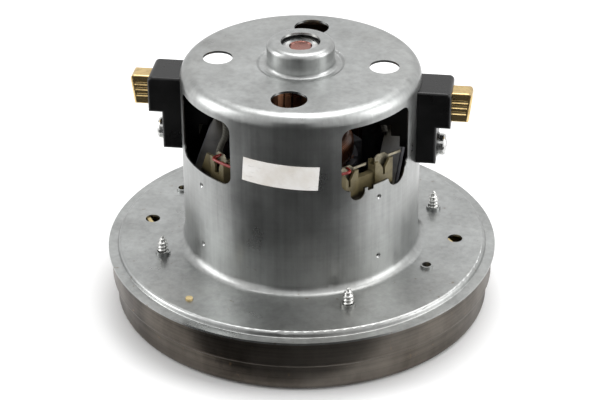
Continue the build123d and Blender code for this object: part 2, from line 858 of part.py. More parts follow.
def make_turns():
    """The outer turns of the rear field coil: one wire laid side by side along the pole."""
    low = insulator_bottom_face - coil_lift - coil_build - turn_wire_radius - seat_gap
    high = insulator_top_face + coil_lift + coil_build + turn_wire_radius + seat_gap
    half = coil_inner_half + coil_build + turn_wire_radius + seat_gap
    bend = coil_corner + turn_wire_radius
    count = int((coil_far - coil_near - 2 * turn_wire_radius) / turn_pitch)
    first = (coil_near + coil_far - count * turn_pitch) / 2
    left, right, up, down = Vector(-1, 0, 0), Vector(1, 0, 0), Vector(0, 0, 1), Vector(0, 0, -1)
    stations = []
    for number in range(count):
        y = first + number * turn_pitch
        step = y + turn_pitch
        stations += [
            (Vector(bend - half, y, high), right),
            (Vector(half - bend, y, high), right),
            (Vector(half, y, high - bend), down),
            (Vector(half, y, low + bend), down),
            (Vector(half - bend, y, low), left),
            (Vector(bend - half, step, low), left),
            (Vector(-half, step, low + bend), up),
            (Vector(-half, step, high - bend), up),
        ]
    gap = least_gap(stations, turn_wire_radius, len(stations) // count - 1)
    print("field turns: loops", count, "least gap to itself", round(gap, 3))
    return tube_along(stations, turn_wire_radius)


def make_coil_terminals():
    """Flat metal blades pressed into the pockets, each with an arm that stands out sideways."""
    blades = []
    middle = (pocket_near + pocket_far) / 2
    for angle, along in zip(pocket_angles, pocket_shifts):
        tab = Rectangle(blade_width, blade_top - blade_low)
        tab = chamfer(tab.vertices().group_by(Axis.Y)[-1], blade_corner)
        arm_reach = pocket_width / 2 + blade_arm
        arm_place = Pos(along + arm_reach / 2, blade_top - blade_arm_drop - blade_arm_height / 2)
        plan = Pos(along, (blade_low + blade_top) / 2) * tab
        plan += arm_place * Rectangle(arm_reach, blade_arm_height)
        blade = wall_plane(angle, 0) * Pos(0, 0, middle - blade_sheet / 2) * extrude(plan, blade_sheet)
        blades += [blade, Rot(0, 0, 180) * blade]
    return blades


def make_jumper_lead():
    """The front jumper lead: out of one pocket's notch, round the can's wall and into another."""
    turn = math.degrees(lead_bend / lead_circle)
    blade_face = (pocket_near + pocket_far + blade_sheet) / 2
    tilts = [math.atan2(pocket_shifts[number], pocket_far) for number in (-1, 0)]
    start, end = [pocket_angles[number] + math.degrees(tilt) for number, tilt in zip((-1, 0), tilts)]
    first, last = [
        (blade_face + seat_gap + lead_radius * math.sin(abs(tilt))) / math.cos(tilt) for tilt in tilts
    ]
    stations = [
        (at(first, start, lead_height), at(1, start)),
        (at(lead_circle - lead_bend, start, lead_height), at(1, start)),
        (at(lead_circle, start + turn, lead_height), at(1, start + turn + 90)),
        (at(lead_circle, end - turn, lead_height), at(1, end - turn + 90)),
        (at(lead_circle - lead_bend, end, lead_height), at(1, end + 180)),
        (at(last, end, lead_height), at(1, end + 180)),
    ]
    return tube_along(stations, lead_radius)


def make_brush_holder():
    """The right brush holder: an outer block with a foot, and a stepped neck into the can."""
    upper = block(can_bore, holder_reach, -holder_half_width, holder_half_width, holder_split, holder_top)
    foot = block(can_bore, holder_foot_reach, -holder_half_width, holder_half_width, holder_low, holder_split)
    body = upper + foot
    crest = body.edges().filter_by(Axis.Y).group_by(Axis.Z)[-1].sort_by(Axis.X)[-1]
    body = fillet(crest, holder_top_edge)
    outer = [
        edge
        for edge in body.edges()
        if edge.center().X > can_radius and abs(edge.center().Y) > holder_half_width - seat_gap
    ]
    body = fillet(outer, holder_edge)
    body -= disc(can_radius + seat_gap, 0, boss_top)
    outer_end = can_radius + overrun
    for inner_end, low in (
        (neck_inner, neck_low),
        (neck_step_inner, neck_step_low),
        (neck_foot_inner, neck_foot_low),
    ):
        body += block(inner_end, outer_end, -neck_half_width, neck_half_width, low, neck_high)
    half = tube_half_width + seat_gap
    body -= block(0, tube_reach, -half, half, tube_low - seat_gap, tube_high + seat_gap)
    body -= Pos(0, 0, holder_screw_height) * Rot(0, 90, 0) * disc(
        holder_screw_radius + run_gap, neck_inner, tube_reach)
    return body


def make_brush_sleeve():
    """The right brass tube: closed by a leaning outer end, with grooves along both sides."""
    height = tube_high - tube_low
    low_reach = tube_reach - tube_end_lean
    side = make_face(Polyline(
        (tube_inner, tube_low),
        (low_reach, tube_low),
        (tube_reach, tube_high),
        (tube_inner, tube_high),
        close=True,
    ))
    side = fillet(side.vertices().sort_by(Axis.X)[-1], tube_crest_edge)
    foot = side.vertices().sort_by(Axis.Y)[:2].sort_by(Axis.X)[-1]
    side = fillet(foot, tube_edge)
    section = Plane.YZ * Pos(0, tube_middle) * RectangleRounded(2 * tube_half_width, height, tube_edge)
    plan = Pos(low_reach / 2, 0, tube_low) * Rectangle(low_reach, 2 * tube_half_width)
    plan = fillet(plan.vertices().group_by(Axis.X)[-1], tube_end_edge)
    lean = Vector(tube_end_lean, 0, height)
    body = extrude(Plane.XZ * side, tube_half_width, both=True)
    body &= extrude(section, tube_reach)
    body &= extrude(plan, lean.length, dir=lean)
    inner_half = tube_half_width - tube_wall
    body -= block(
        0, tube_cavity_end, -inner_half, inner_half, tube_low + tube_wall, tube_high - tube_wall
    )
    away = tube_half_width + tube_groove_radius - tube_groove_depth
    for place in tube_groove_places:
        end = low_reach + tube_end_lean * (place - tube_low) / height - tube_end_edge
        groove = Rot(0, 90, 0) * disc(tube_groove_radius, holder_reach, end)
        for turn in (-1, 1):
            body -= Pos(0, turn * away, place) * groove
    return body


def make_holder_screw():
    """The right holder screw: flanged pan head, cross recess and pointed shank, lying along X."""
    shank_length = holder_foot_reach - holder_screw_tip
    head_high = holder_screw_flange + holder_screw_head_height
    head = disc(holder_screw_head_radius, 0, head_high)
    head = fillet(head.edges().sort_by(Axis.Z)[-1], holder_screw_head_height / 2)
    head += disc(holder_screw_flange_radius, 0, holder_screw_flange)
    head -= Pos(0, 0, head_high) * cross_recess()
    shank = turned([
        (0, 0),
        (holder_screw_radius, 0),
        (holder_screw_radius, holder_screw_radius * 2 - shank_length),
        (0, -shank_length),
    ])
    face = holder_foot_reach + seat_gap
    return Pos(face, 0, holder_screw_height) * Rot(0, 90, 0) * (head + shank)


def make_carbon_brush():
    """The right carbon brush, its face curved to the commutator."""
    half = tube_half_width - tube_wall - brush_slide_gap
    low, high = tube_low + tube_wall + brush_slide_gap, tube_high - tube_wall - brush_slide_gap
    contact = commutator_radius + brush_contact_gap
    body = block(commutator_hub_radius, contact + brush_length, -half, half, low, high)
    return body - disc(contact, low - overrun, high + overrun)


def brush_back():
    """Distance from the axis to the back end of a carbon brush."""
    return commutator_radius + brush_contact_gap + brush_length


def make_brush_spring():
    """The right brush spring: an open coil of round wire along X."""
    start = brush_back() + spring_end_gap + spring_wire_radius
    end = tube_cavity_end - spring_end_gap - spring_wire_radius
    pitch = (end - start) / spring_turn_count
    quarters = 4 * spring_turn_count
    stations = []
    for number in range(quarters + 1):
        angle = 90 * number
        across = at(spring_radius, angle)
        climb = pitch / (2 * math.pi)
        along = at(spring_radius, angle + 90)
        place = Vector(start + (end - start) * number / quarters, across.X, tube_middle + across.Y)
        stations.append((place, Vector(climb, along.X, along.Y).normalized()))
    gap = least_gap(stations, spring_wire_radius, quarters // spring_turn_count)
    print("brush spring: turns", spring_turn_count, "least gap to itself", round(gap, 3))
    return tube_along(stations, spring_wire_radius)


def make_brush_shunt():
    """The right shunt: a short flexible copper cord from brush to tube end."""
    length = tube_cavity_end - brush_back()
    return Pos(brush_back(), 0, tube_middle) * Rot(0, 90, 0) * disc(shunt_radius, 0, length)


def make_shaft():
    """The turned steel shaft with a thicker middle."""
    lower_seat = lower_bearing_low + bearing_width
    return turned([
        (0, shaft_low),
        (shaft_radius - shaft_chamfer, shaft_low),
        (shaft_radius, shaft_low + shaft_chamfer),
        (shaft_radius, lower_seat),
        (shaft_body_radius, lower_seat),
        (shaft_body_radius, commutator_low),
        (shaft_radius, commutator_low),
        (shaft_radius, shaft_top - shaft_chamfer),
        (shaft_radius - shaft_chamfer, shaft_top),
        (0, shaft_top),
    ])


def slot_plan(shrink):
    """Plan of one armature slot along X, smaller all round by a given amount."""
    return make_face(Polyline(
        (slot_bottom + shrink, -slot_inner_half + shrink),
        (slot_outer - shrink, -slot_outer_half + shrink),
        (slot_outer - shrink, slot_outer_half - shrink),
        (slot_bottom + shrink, slot_inner_half - shrink),
        close=True,
    ))


def make_armature_core():
    """The laminated armature with twelve slots."""
    section = Circle(armature_radius) - Circle(shaft_body_radius + seat_gap)
    mouth = Pos((slot_outer + armature_radius + overrun) / 2 - slot_liner, 0) * Rectangle(
        armature_radius + overrun - slot_outer + 2 * slot_liner, slot_mouth)
    for opening in copies(slot_plan(0) + mouth, armature_slot_count):
        section -= opening
    return Pos(0, 0, core_low) * extrude(section, core_height)


def make_armature_winding():
    """The armature winding: copper in all slots, two end bundles and the leads to the commutator."""
    section = Rectangle(winding_outer - winding_inner, winding_reach)
    bundle = fillet(section.vertices(), winding_edge)
    middle = (winding_inner + winding_outer) / 2
    upper = revolve(Plane.XZ * Pos(middle, core_high + winding_reach / 2) * bundle, axis=Axis.Z)
    lower = revolve(Plane.XZ * Pos(middle, core_low - winding_reach / 2) * bundle, axis=Axis.Z)
    neck = turned([
        (lead_cone_inner, core_high + end_disc + rest_gap),
        (middle, core_high + end_disc + rest_gap),
        (lead_cone_radius, core_high + winding_reach),
        (lead_cone_radius, bar_low - rest_gap),
        (commutator_hub_radius + seat_gap, bar_low - rest_gap),
        (commutator_hub_radius + seat_gap, commutator_low - rest_gap),
        (lead_cone_inner, commutator_low - rest_gap),
    ])
    bars = copies(slot_plan(slot_liner), armature_slot_count)
    reach = winding_edge
    strips = [Pos(0, 0, core_low - reach) * extrude(bar, core_height + 2 * reach) for bar in bars]
    return joined([upper, lower, neck] + strips)


def make_slot_wedges():
    """Thin strips that close the armature slots."""
    inner = slot_outer + slot_liner
    strip = block(
        inner,
        inner + wedge_sheet,
        -slot_mouth / 2 + seat_gap,
        slot_mouth / 2 - seat_gap,
        core_low,
        core_high,
    )
    return copies(strip, armature_slot_count)


def make_end_discs():
    """Insulating discs on the shaft at both faces of the armature core."""
    bore = shaft_body_radius + seat_gap
    return [
        ring(bore, end_disc_radius, core_high, core_high + end_disc),
        ring(bore, end_disc_radius, core_low - end_disc, core_low),
    ]


def make_commutator_hub():
    """The moulded sleeve that carries the commutator bars."""
    return ring(shaft_radius + seat_gap, commutator_hub_radius, commutator_low, commutator_high)


def make_commutator_bars():
    """Copper bars with hooks, split from each other by even gaps."""
    half_step = 180 / bar_count
    wedge = make_face(Polyline(
        (0, 0),
        at(2 * hook_radius, -half_step),
        at(2 * hook_radius, half_step),
        close=True,
    ))
    gap = Rectangle(2 * hook_radius, bar_gap)
    wedge -= Rot(0, 0, half_step) * Pos(hook_radius, 0) * gap
    wedge -= Rot(0, 0, -half_step) * Pos(hook_radius, 0) * gap
    section = (Circle(commutator_radius) - Circle(commutator_hub_radius + seat_gap)) & wedge
    bar = Pos(0, 0, bar_low) * extrude(section, bar_high - bar_low)
    bar += block(
        commutator_radius - bar_gap,
        hook_radius,
        -hook_width / 2,
        hook_width / 2,
        bar_low,
        bar_low + hook_height,
    )
    return copies(bar, bar_count)


def make_fan_front_plate():
    """The coned lower plate with its eye collar."""
    outline = [
        (fan_radius, fan_rim_low),
        (fan_cone_start, fan_cone_low),
        (fan_eye_radius, fan_cone_low),
        (fan_eye_radius, fan_eye_low),
    ]
    return drawn_sheet(outline, [fan_cone_bend, fan_eye_bend], fan_sheet)


def make_fan_blades():
    """Curved blades that stand between the two fan plates."""
    plan = curved_vane(
        fan_blade_inner, fan_radius - rest_gap, -fan_blade_sweep_angle, -fan_blade_bow_share, fan_sheet)
    space = turned([
        (fan_blade_inner - fan_sheet, fan_plate_low - seat_gap),
        (fan_radius, fan_plate_low - seat_gap),
        (fan_radius, fan_rim_low + fan_sheet + rest_gap / 2),
        (fan_cone_start, fan_cone_low + fan_sheet + rest_gap),
        (fan_blade_inner - fan_sheet, fan_cone_low + fan_sheet + rest_gap),
    ])
    blade = extrude(plan, fan_plate_low) & space
    return copies(blade, blade_count)


def make_fan_nut():
    """The hexagon nut on the shaft's lower end."""
    across = nut_flats / math.sqrt(3)
    low = fan_plate_low - fan_washer - nut_height
    body = Pos(0, 0, low) * extrude(RegularPolygon(across, 6), nut_height)
    limit = turned([
        (0, low),
        (nut_flats / 2, low),
        (nut_flats / 2 + nut_chamfer, low + nut_chamfer),
        (nut_flats, low + nut_height),
        (0, low + nut_height),
    ])
    return (body & limit) - disc(shaft_radius + seat_gap, low - overrun, low + nut_height + overrun)


def make_paper_label():
    """The blank label, bent round the can."""
    near = can_radius + seat_gap
    skin = ring(near, near + label_sheet, 0, boss_top)
    patch = Rot(0, 0, label_tilt_angle) * Rectangle(label_width, label_height)
    return skin & extrude(wall_plane(label_angle, label_centre) * patch, can_radius + overrun)


def write(name, piece):
    """Write one node, made of one or more solids."""
    solids = piece if isinstance(piece, list) else [piece]
    shapes = [solid for item in solids for solid in item.solids()]
    export_step(Compound(shapes) if len(shapes) > 1 else shapes[0], "parts/" + name + ".step")


def main():
    os.makedirs("parts", exist_ok=True)
    half_turn = Rot(0, 0, 180)
    fan_top = fan_plate_low + fan_sheet
    washer_top = fan_top + fan_washer

    write("motor_frame", make_motor_frame())
    write("fan_cover", make_fan_cover())
    write("bearing_bracket", make_bearing_bracket())
    write("diffuser", make_diffuser())
    write("diffuser_screws", make_diffuser_screws())
    write("stator_core", make_stator_core())
    write("insulator_top", make_insulator_top())
    write("insulator_bottom", make_insulator_bottom())
    write("coil_terminals", make_coil_terminals())
    write("holder_screws", [make_holder_screw(), half_turn * make_holder_screw()])
    write("preload_washer", make_preload_washer())
    write("paper_label", make_paper_label())

    paired = {
        "field_coil": (make_coil(), "rear", "front"),
        "field_turns": (make_turns(), "rear", "front"),
        "jumper_lead": (make_jumper_lead(), "front", "rear"),
        "brush_holder": (make_brush_holder(), "right", "left"),
        "brush_sleeve": (make_brush_sleeve(), "right", "left"),
        "carbon_brush": (make_carbon_brush(), "right", "left"),
        "brush_spring": (make_brush_spring(), "right", "left"),
        "brush_shunt": (make_brush_shunt(), "right", "left"),
    }
    for name, (piece, side, other_side) in paired.items():
        write(name + "_" + side, piece)
        write(name + "_" + other_side, half_turn * piece)

    for name, low in (("lower_bearing", lower_bearing_low), ("upper_bearing", upper_bearing_low)):
        for part_name, piece in bearing_parts(low).items():
            write(name + "_" + part_name, piece)

    write("shaft", make_shaft())
    write("armature_core", make_armature_core())
    write("armature_winding", make_armature_winding())
    write("slot_wedges", make_slot_wedges())
    write("armature_end_discs", make_end_discs())
    write("commutator_hub", make_commutator_hub())
    write("commutator_bars", make_commutator_bars())
    bore = shaft_radius + seat_gap
    write("commutator_spacer", ring(bore, fan_spacer_radius, commutator_high, upper_bearing_low))
    write("fan_back_plate", ring(bore, fan_radius, fan_plate_low, fan_top))
    write("fan_front_plate", make_fan_front_plate())
    write("fan_blades", make_fan_blades())
    lower_washer = ring(bore, fan_washer_radius, fan_plate_low - fan_washer, fan_plate_low)
    write("fan_washers", [lower_washer, ring(bore, fan_washer_radius, fan_top, washer_top)])
    write("fan_spacer", ring(bore, fan_spacer_radius, washer_top, lower_bearing_low))
    write("fan_nut", make_fan_nut())


main()
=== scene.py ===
import math
import bmesh
import bpy
from mathutils import Matrix, Vector


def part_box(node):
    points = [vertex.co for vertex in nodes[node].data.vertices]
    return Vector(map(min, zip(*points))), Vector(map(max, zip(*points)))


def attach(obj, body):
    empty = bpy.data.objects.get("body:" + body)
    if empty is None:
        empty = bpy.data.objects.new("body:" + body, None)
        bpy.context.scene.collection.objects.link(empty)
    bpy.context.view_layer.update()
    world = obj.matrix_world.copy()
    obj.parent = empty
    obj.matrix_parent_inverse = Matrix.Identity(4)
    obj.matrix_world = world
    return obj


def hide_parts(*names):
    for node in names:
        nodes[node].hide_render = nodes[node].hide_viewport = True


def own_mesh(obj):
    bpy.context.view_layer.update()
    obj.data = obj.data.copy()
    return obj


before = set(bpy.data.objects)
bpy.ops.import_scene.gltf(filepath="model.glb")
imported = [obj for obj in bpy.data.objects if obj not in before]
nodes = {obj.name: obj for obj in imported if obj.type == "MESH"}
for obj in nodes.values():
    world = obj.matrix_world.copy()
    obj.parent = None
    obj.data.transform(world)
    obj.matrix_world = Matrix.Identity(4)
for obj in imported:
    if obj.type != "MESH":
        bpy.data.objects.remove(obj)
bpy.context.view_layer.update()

# Motor frame: one sheet of zinc-coated steel, drawn in a press into a can, boss and flange.
# The press leaves streaks down the wall and rings on the flat faces; the zinc is cloudy, with
# a soft spangle, scratches and brown specks, and the can's inside is painted dark as painted shade.


def add(tree, kind, settings=None, **inputs):
    """One shader node; i0, i1 and so on are inputs by number, other inputs go by name."""
    new = tree.nodes.new("ShaderNode" + kind)
    for name, value in (settings or {}).items():
        setattr(new, name, value)
    for name, value in inputs.items():
        number = name[0] == "i" and name[1:].isdigit()
        socket = new.inputs[int(name[1:]) if number else name.replace("_", " ")]
        if isinstance(value, bpy.types.NodeSocket):
            tree.links.new(value, socket)
        else:
            socket.default_value = value
    return new


def start_finish(name, colour, metallic=0.0, roughness=0.5):
    """A new finish with plain values on its shader, and its place on the object in metres."""
    finish = bpy.data.materials.new(name)
    finish.use_nodes = True
    tree = finish.node_tree
    shader = tree.nodes["Principled BSDF"]
    shader.inputs["Base Color"].default_value = (*colour, 1)
    shader.inputs["Metallic"].default_value = metallic
    shader.inputs["Roughness"].default_value = roughness
    place = tree.nodes.new("ShaderNodeTexCoord").outputs["Object"]
    return finish, tree, shader, place


def stretched(tree, place, along_x, along_y, along_z):
    """The object's place, stretched to different grain sizes on each axis."""
    return add(tree, "Mapping", Vector=place, Scale=(along_x, along_y, along_z)).outputs[0]


def grain(tree, place, per_metre, detail=4.0, rough=0.6):
    """Cloudy noise from 0 to 1 at a given fineness."""
    return add(tree, "TexNoise", Vector=place, Scale=per_metre, Detail=detail, Roughness=rough).outputs[0]


def level(tree, source, low, high, to_low, to_high):
    """A value brought from one range to another and held there."""
    inputs = {"Value": source, "From_Min": low, "From_Max": high, "To_Min": to_low, "To_Max": to_high}
    return add(tree, "MapRange", {"clamp": True}, **inputs).outputs[0]


def sums(tree, operation, first, second):
    """One sum of two values."""
    return add(tree, "Math", {"operation": operation}, i0=first, i1=second).outputs[0]


def tinted(tree, share, first, second):
    """One colour turning into another by a share."""
    first = (*first, 1) if isinstance(first, tuple) else first
    second = (*second, 1) if isinstance(second, tuple) else second
    return add(tree, "Mix", {"data_type": "RGBA"}, i0=share, i6=first, i7=second).outputs[2]


def relief(tree, shader, height, depth, strength=1.0):
    """Fine relief in metres on a finish."""
    bump = add(tree, "Bump", Height=height, Distance=depth, Strength=strength)
    tree.links.new(bump.outputs[0], shader.inputs["Normal"])


def colour_from(tree, shader, source):
    """The finish's colour comes from this socket."""
    tree.links.new(source, shader.inputs["Base Color"])


def roughness_from(tree, shader, source):
    """The finish's roughness comes from this socket."""
    tree.links.new(source, shader.inputs["Roughness"])


def radius_of(tree, place):
    """Distance from the shaft's axis, and height, in metres."""
    split = add(tree, "SeparateXYZ", Vector=place).outputs
    x_square = sums(tree, "MULTIPLY", split[0], split[0])
    y_square = sums(tree, "MULTIPLY", split[1], split[1])
    return sums(tree, "SQRT", sums(tree, "ADD", x_square, y_square), 0.0), split[2]


def lines_across(tree, along, per_metre):
    """Fine lines from 0 to 1 that change with one length only, such as a height or a radius."""
    return add(tree, "TexNoise", {"noise_dimensions": "1D"}, W=along, Scale=per_metre, Detail=3.0).outputs[0]


def dress(finish, *names):
    """Gives CAD pieces a finish, seen on all their faces."""
    for name in names:
        mesh = nodes[name].data
        mesh.materials.clear()
        mesh.materials.append(finish)


def weighed(tree, parts):
    """The sum of values, each times its own weight."""
    total = 0.0
    for value, weight in parts:
        total = sums(tree, "ADD", total, sums(tree, "MULTIPLY", value, weight))
    return total


def drawn_zinc(name, bright, dark, roughness, stain_share, streak_share, band_share, shaded_inside_radius):
    """Zinc-coated sheet after drawing: streaks, bands, spangle, smears, stains, painted shade inside."""
    finish, tree, shader, place = start_finish(name, bright, 1.0, roughness)
    radius, height = radius_of(tree, place)
    spangle_place = stretched(tree, place, 420, 420, 300)
    spangle = add(tree, "TexVoronoi", Vector=spangle_place, Scale=1.0).outputs["Color"]
    cell = add(tree, "SeparateColor", Color=spangle).outputs[0]
    streaks = grain(tree, stretched(tree, place, 520, 520, 18), 1.0, 3.0)
    rings = lines_across(tree, radius, 1400.0)
    bands = lines_across(tree, height, 700.0)
    smears = grain(tree, place, 26.0, 6.0, 0.62)
    cloud = grain(tree, stretched(tree, place, 70, 70, 34), 1.0, 5.0)
    cell_share = 0.05
    cloud_share = 1 - cell_share - streak_share - band_share
    mixed = weighed(tree, (
        (cell, cell_share),
        (streaks, streak_share),
        (bands, band_share),
        (cloud, cloud_share),
    ))
    base = tinted(tree, level(tree, mixed, 0.34, 0.66, 0.0, 1.0), dark, bright)
    specks = level(tree, grain(tree, place, 310.0, 2.0), 0.69, 0.76, 0.0, stain_share)
    flange_height, wall_height = 0.024, 0.034
    low = level(tree, height, flange_height, wall_height, 1.0, 0.12)
    base = tinted(tree, sums(tree, "MULTIPLY", specks, low), base, (0.16, 0.11, 0.07))
    film = level(tree, grain(tree, place, 9.0, 5.0), 0.5, 0.7, 0.0, stain_share * 0.45)
    base = tinted(tree, film, base, (0.30, 0.28, 0.25))
    # Painted shade: the can's inside, within a radius of the axis and below the boss, is painted near black.
    inside_shade_edge = 0.00005
    inside_shade_full, inside_shade_end = 0.0860, 0.0870
    inside = level(tree, radius, shaded_inside_radius - inside_shade_edge, shaded_inside_radius + inside_shade_edge, 0.93, 0.0)
    inside = sums(tree, "MULTIPLY", inside, level(tree, height, inside_shade_full, inside_shade_end, 1.0, 0.0))
    colour_from(tree, shader, tinted(tree, inside, base, (0.02, 0.018, 0.016)))
    rubbed = level(tree, smears, 0.35, 0.68, roughness - 0.07, roughness + 0.13)
    roughness_from(tree, shader, weighed(tree, ((rubbed, 1.0), (streaks, 0.05))))
    scratch_place = stretched(tree, place, 900, 60, 240)
    scratches = level(tree, grain(tree, scratch_place, 1.0, 2.0), 0.66, 0.71, 0.0, 1.0)
    raised = weighed(tree, (
        (rings, 0.5),
        (bands, 0.35),
        (streaks, streak_share),
        (scratches, -0.5),
        (cloud, 0.8),
    ))
    relief(tree, shader, raised, 0.00006, 0.4)
    return finish


can_zinc = drawn_zinc(
    "can_zinc", (0.41, 0.42, 0.415), (0.27, 0.275, 0.27), roughness=0.30,
    stain_share=0.55, streak_share=0.34, band_share=0.08, shaded_inside_radius=0.0416,
)
dress(can_zinc, "motor_frame")

# Fan cover: a second drawn cup of the same sheet, duller and more handled, with the marks
# of the press running round its wall. Its colours are much darker and browner than the can's,
# as a painted reflection of a dark floor. Its top edge is squeezed up under the frame's lip.

# Painted reflection: the cover's colours are darkened and browned to stand in for a dark floor reflected in
# it.
cover_zinc = drawn_zinc(
    "cover_zinc", (0.14, 0.120, 0.100), (0.045, 0.038, 0.032), roughness=0.34,
    stain_share=0.9, streak_share=0.05, band_share=0.42, shaded_inside_radius=0.0,
)
dress(cover_zinc, "fan_cover")

# Paper label: a plain strip stuck on the can, left blank, matt and faintly fibrous, with
# yellowish patches and a few grey rub marks. It is bent to the can and lies flat on it.

paper, tree, shader, place = start_finish("label_paper", (0.80, 0.78, 0.75), 0.0, 0.62)
fibres = grain(tree, stretched(tree, place, 1400, 1400, 500), 1.0, 4.0)
ageing = grain(tree, place, 120.0, 5.0)
aged = level(tree, ageing, 0.35, 0.75, 0.0, 1.0)
shade = tinted(tree, aged, (0.80, 0.785, 0.76), (0.66, 0.62, 0.56))
rubs = level(tree, grain(tree, stretched(tree, place, 260, 260, 900), 1.0, 3.0), 0.62, 0.70, 0.0, 0.35)
colour_from(tree, shader, tinted(tree, rubs, shade, (0.42, 0.40, 0.38)))
relief(tree, shader, fibres, 0.00003, 0.6)
dress(paper, "paper_label")

# Diffuser: one moulding in natural glass-filled nylon, the colour of straw. Only its pins
# and a glimpse through the flange holes show; it is held by the four screws from below.


def moulded_nylon(name, light, deep, roughness):
    """Moulded nylon: cloudy colour, dust, a fine mould texture, painted shade near the top and on the ledge.
    """
    finish, tree, shader, place = start_finish(name, light, 0.0, roughness)
    cloud = grain(tree, place, 60.0, 5.0)
    dust = level(tree, grain(tree, place, 240.0, 6.0), 0.5, 0.72, 0.0, 0.55)
    base = tinted(tree, level(tree, cloud, 0.3, 0.7, 0.0, 1.0), light, deep)
    base = tinted(tree, dust, base, tuple(part * 0.45 for part in deep))
    _, height = radius_of(tree, place)
    # Painted shade inside the can: near black above the pockets' tops and on the ledge between the diffuser
    # and the pockets.
    painted_shade_share = 0.85
    upper_shade_start, upper_shade_full = 0.0690, 0.0715
    ledge_shade_full, ledge_shade_end = 0.0572, 0.0580
    diffuser_top, ledge_shade_start = 0.0400, 0.0410
    upper_end_shade = level(tree, height, upper_shade_start, upper_shade_full, 0.0, painted_shade_share)
    under_pockets = level(tree, height, ledge_shade_full, ledge_shade_end, painted_shade_share, 0.0)
    above_diffuser = level(tree, height, diffuser_top, ledge_shade_start, 0.0, 1.0)
    painted_shade = sums(tree, "MAXIMUM", upper_end_shade, sums(tree, "MULTIPLY", under_pockets, above_diffuser))
    colour_from(tree, shader, tinted(tree, painted_shade, base, (0.012, 0.010, 0.007)))
    roughness_from(tree, shader, level(tree, cloud, 0.3, 0.7, roughness - 0.06, roughness + 0.14))
    relief(tree, shader, grain(tree, place, 1900.0, 3.0), 0.00003, 0.7)
    shader.inputs["Subsurface Weight"].default_value = 0.06
    shader.inputs["Subsurface Radius"].default_value = (0.002, 0.0015, 0.0008)
    return finish


straw_nylon = moulded_nylon("diffuser_nylon", (0.62, 0.50, 0.26), (0.50, 0.38, 0.17), roughness=0.45)
dress(straw_nylon, "diffuser")

# Insulators and terminal pockets: cream nylon mouldings on both ends of the stator core,
# dulled by dust, with painted shade at their upper end and on the ledge. The upper one
# carries the notched pockets that are seen in the windows.

cream_nylon = moulded_nylon("cream_nylon", (0.17, 0.14, 0.068), (0.075, 0.06, 0.028), roughness=0.42)
dress(cream_nylon, "insulator_top", "insulator_bottom")

# Diffuser screws: four zinc-plated self-tapping screws, driven up through diffuser, bracket
# and flange. Their points stand above the flange, with a real rising thread.


def plated_zinc(name, colour, roughness):
    """Bright zinc plating, slightly cloudy, with tool marks."""
    finish, tree, shader, place = start_finish(name, colour, 1.0, roughness)
    cloud = grain(tree, place, 420.0, 4.0)
    dull = tuple(part * 0.6 for part in colour)
    colour_from(tree, shader, tinted(tree, level(tree, cloud, 0.35, 0.7, 0.0, 1.0), colour, dull))
    roughness_from(tree, shader, level(tree, cloud, 0.3, 0.7, roughness - 0.06, roughness + 0.16))
    relief(tree, shader, grain(tree, place, 1500.0, 3.0), 0.00002, 0.6)
    return finish


def mesh_piece(name, shape, finish):
    """A new piece from a finished bmesh, smooth all over, with its finish."""
    mesh = bpy.data.meshes.new(name)
    bmesh.ops.recalc_face_normals(shape, faces=shape.faces)
    shape.to_mesh(mesh)
    shape.free()
    mesh.shade_smooth()
    mesh.materials.append(finish)
    piece = bpy.data.objects.new(name, mesh)
    bpy.context.collection.objects.link(piece)
    return piece


def close_loops(shape, loops):
    """Walls between loops that follow each other, and a face over both ends."""
    columns = len(loops[0])
    for lower, upper in zip(loops, loops[1:]):
        for column in range(columns):
            after = (column + 1) % columns
            shape.faces.new((lower[column], lower[after], upper[after], upper[column]))
    shape.faces.new(reversed(loops[0]))
    shape.faces.new(loops[-1])


def turned_grid(shape, rings, columns, radius_at):
    """A closed turned body whose radius may change with height and angle."""
    loops = []
    for height in rings:
        loop = []
        for column in range(columns):
            turn = 2 * math.pi * column / columns
            radius = radius_at(height, turn)
            loop.append(shape.verts.new((radius * math.cos(turn), radius * math.sin(turn), height)))
        loops.append(loop)
    close_loops(shape, loops)


screw_low, screw_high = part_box("diffuser_screws")
screw_circle_radius = 0.0515
screw_turns_deg = (26.9, -64.2, -156.0, 115.5)
core_radius, crest_radius, point_radius = 0.00145, 0.00192, 0.0003
thread_pitch, point_length = 0.00135, 0.0030
thread_flank_share = 0.24
head_radius, head_height = 0.0035, 0.0023
head_edge_share = 0.5
head_round_share = 0.55
head_least_share = 0.04
thread_low = screw_low[2] + head_height
thread_high = screw_high[2]
thread_rings, head_rings, screw_columns = 150, 10, 28


def thread_radius(height, turn):
    """Radius of the shank with its rising thread, narrowing to a point."""
    rise = (height / thread_pitch - turn / (2 * math.pi)) % 1.0
    ridge = max(0.0, 1.0 - abs(rise - 0.5) / thread_flank_share)
    narrow = min(1.0, max(0.0, (thread_high - height) / point_length))
    root = point_radius + (core_radius - point_radius) * narrow
    crest = point_radius + (crest_radius - point_radius) * narrow ** 0.7
    return root + (crest - root) * ridge


def head_radius_at(height, turn):
    """Radius of the pan head, rounded where the driver goes in."""
    depth = height - screw_low[2]
    drop = max(0.0, 1.0 - depth / (head_edge_share * head_height))
    return head_radius * math.sqrt(max(head_least_share, 1.0 - head_round_share * drop * drop))


def heights_between(low, high, steps):
    """Heights from low to high in even steps."""
    return [low + (high - low) * step / steps for step in range(steps + 1)]


shape = bmesh.new()
turned_grid(shape, heights_between(thread_low, thread_high, thread_rings), screw_columns, thread_radius)
turned_grid(shape, heights_between(screw_low[2], thread_low, head_rings), screw_columns, head_radius_at)
screw_zinc = plated_zinc("screw_zinc", (0.62, 0.62, 0.60), roughness=0.24)
screw = mesh_piece("one_screw", shape, screw_zinc)


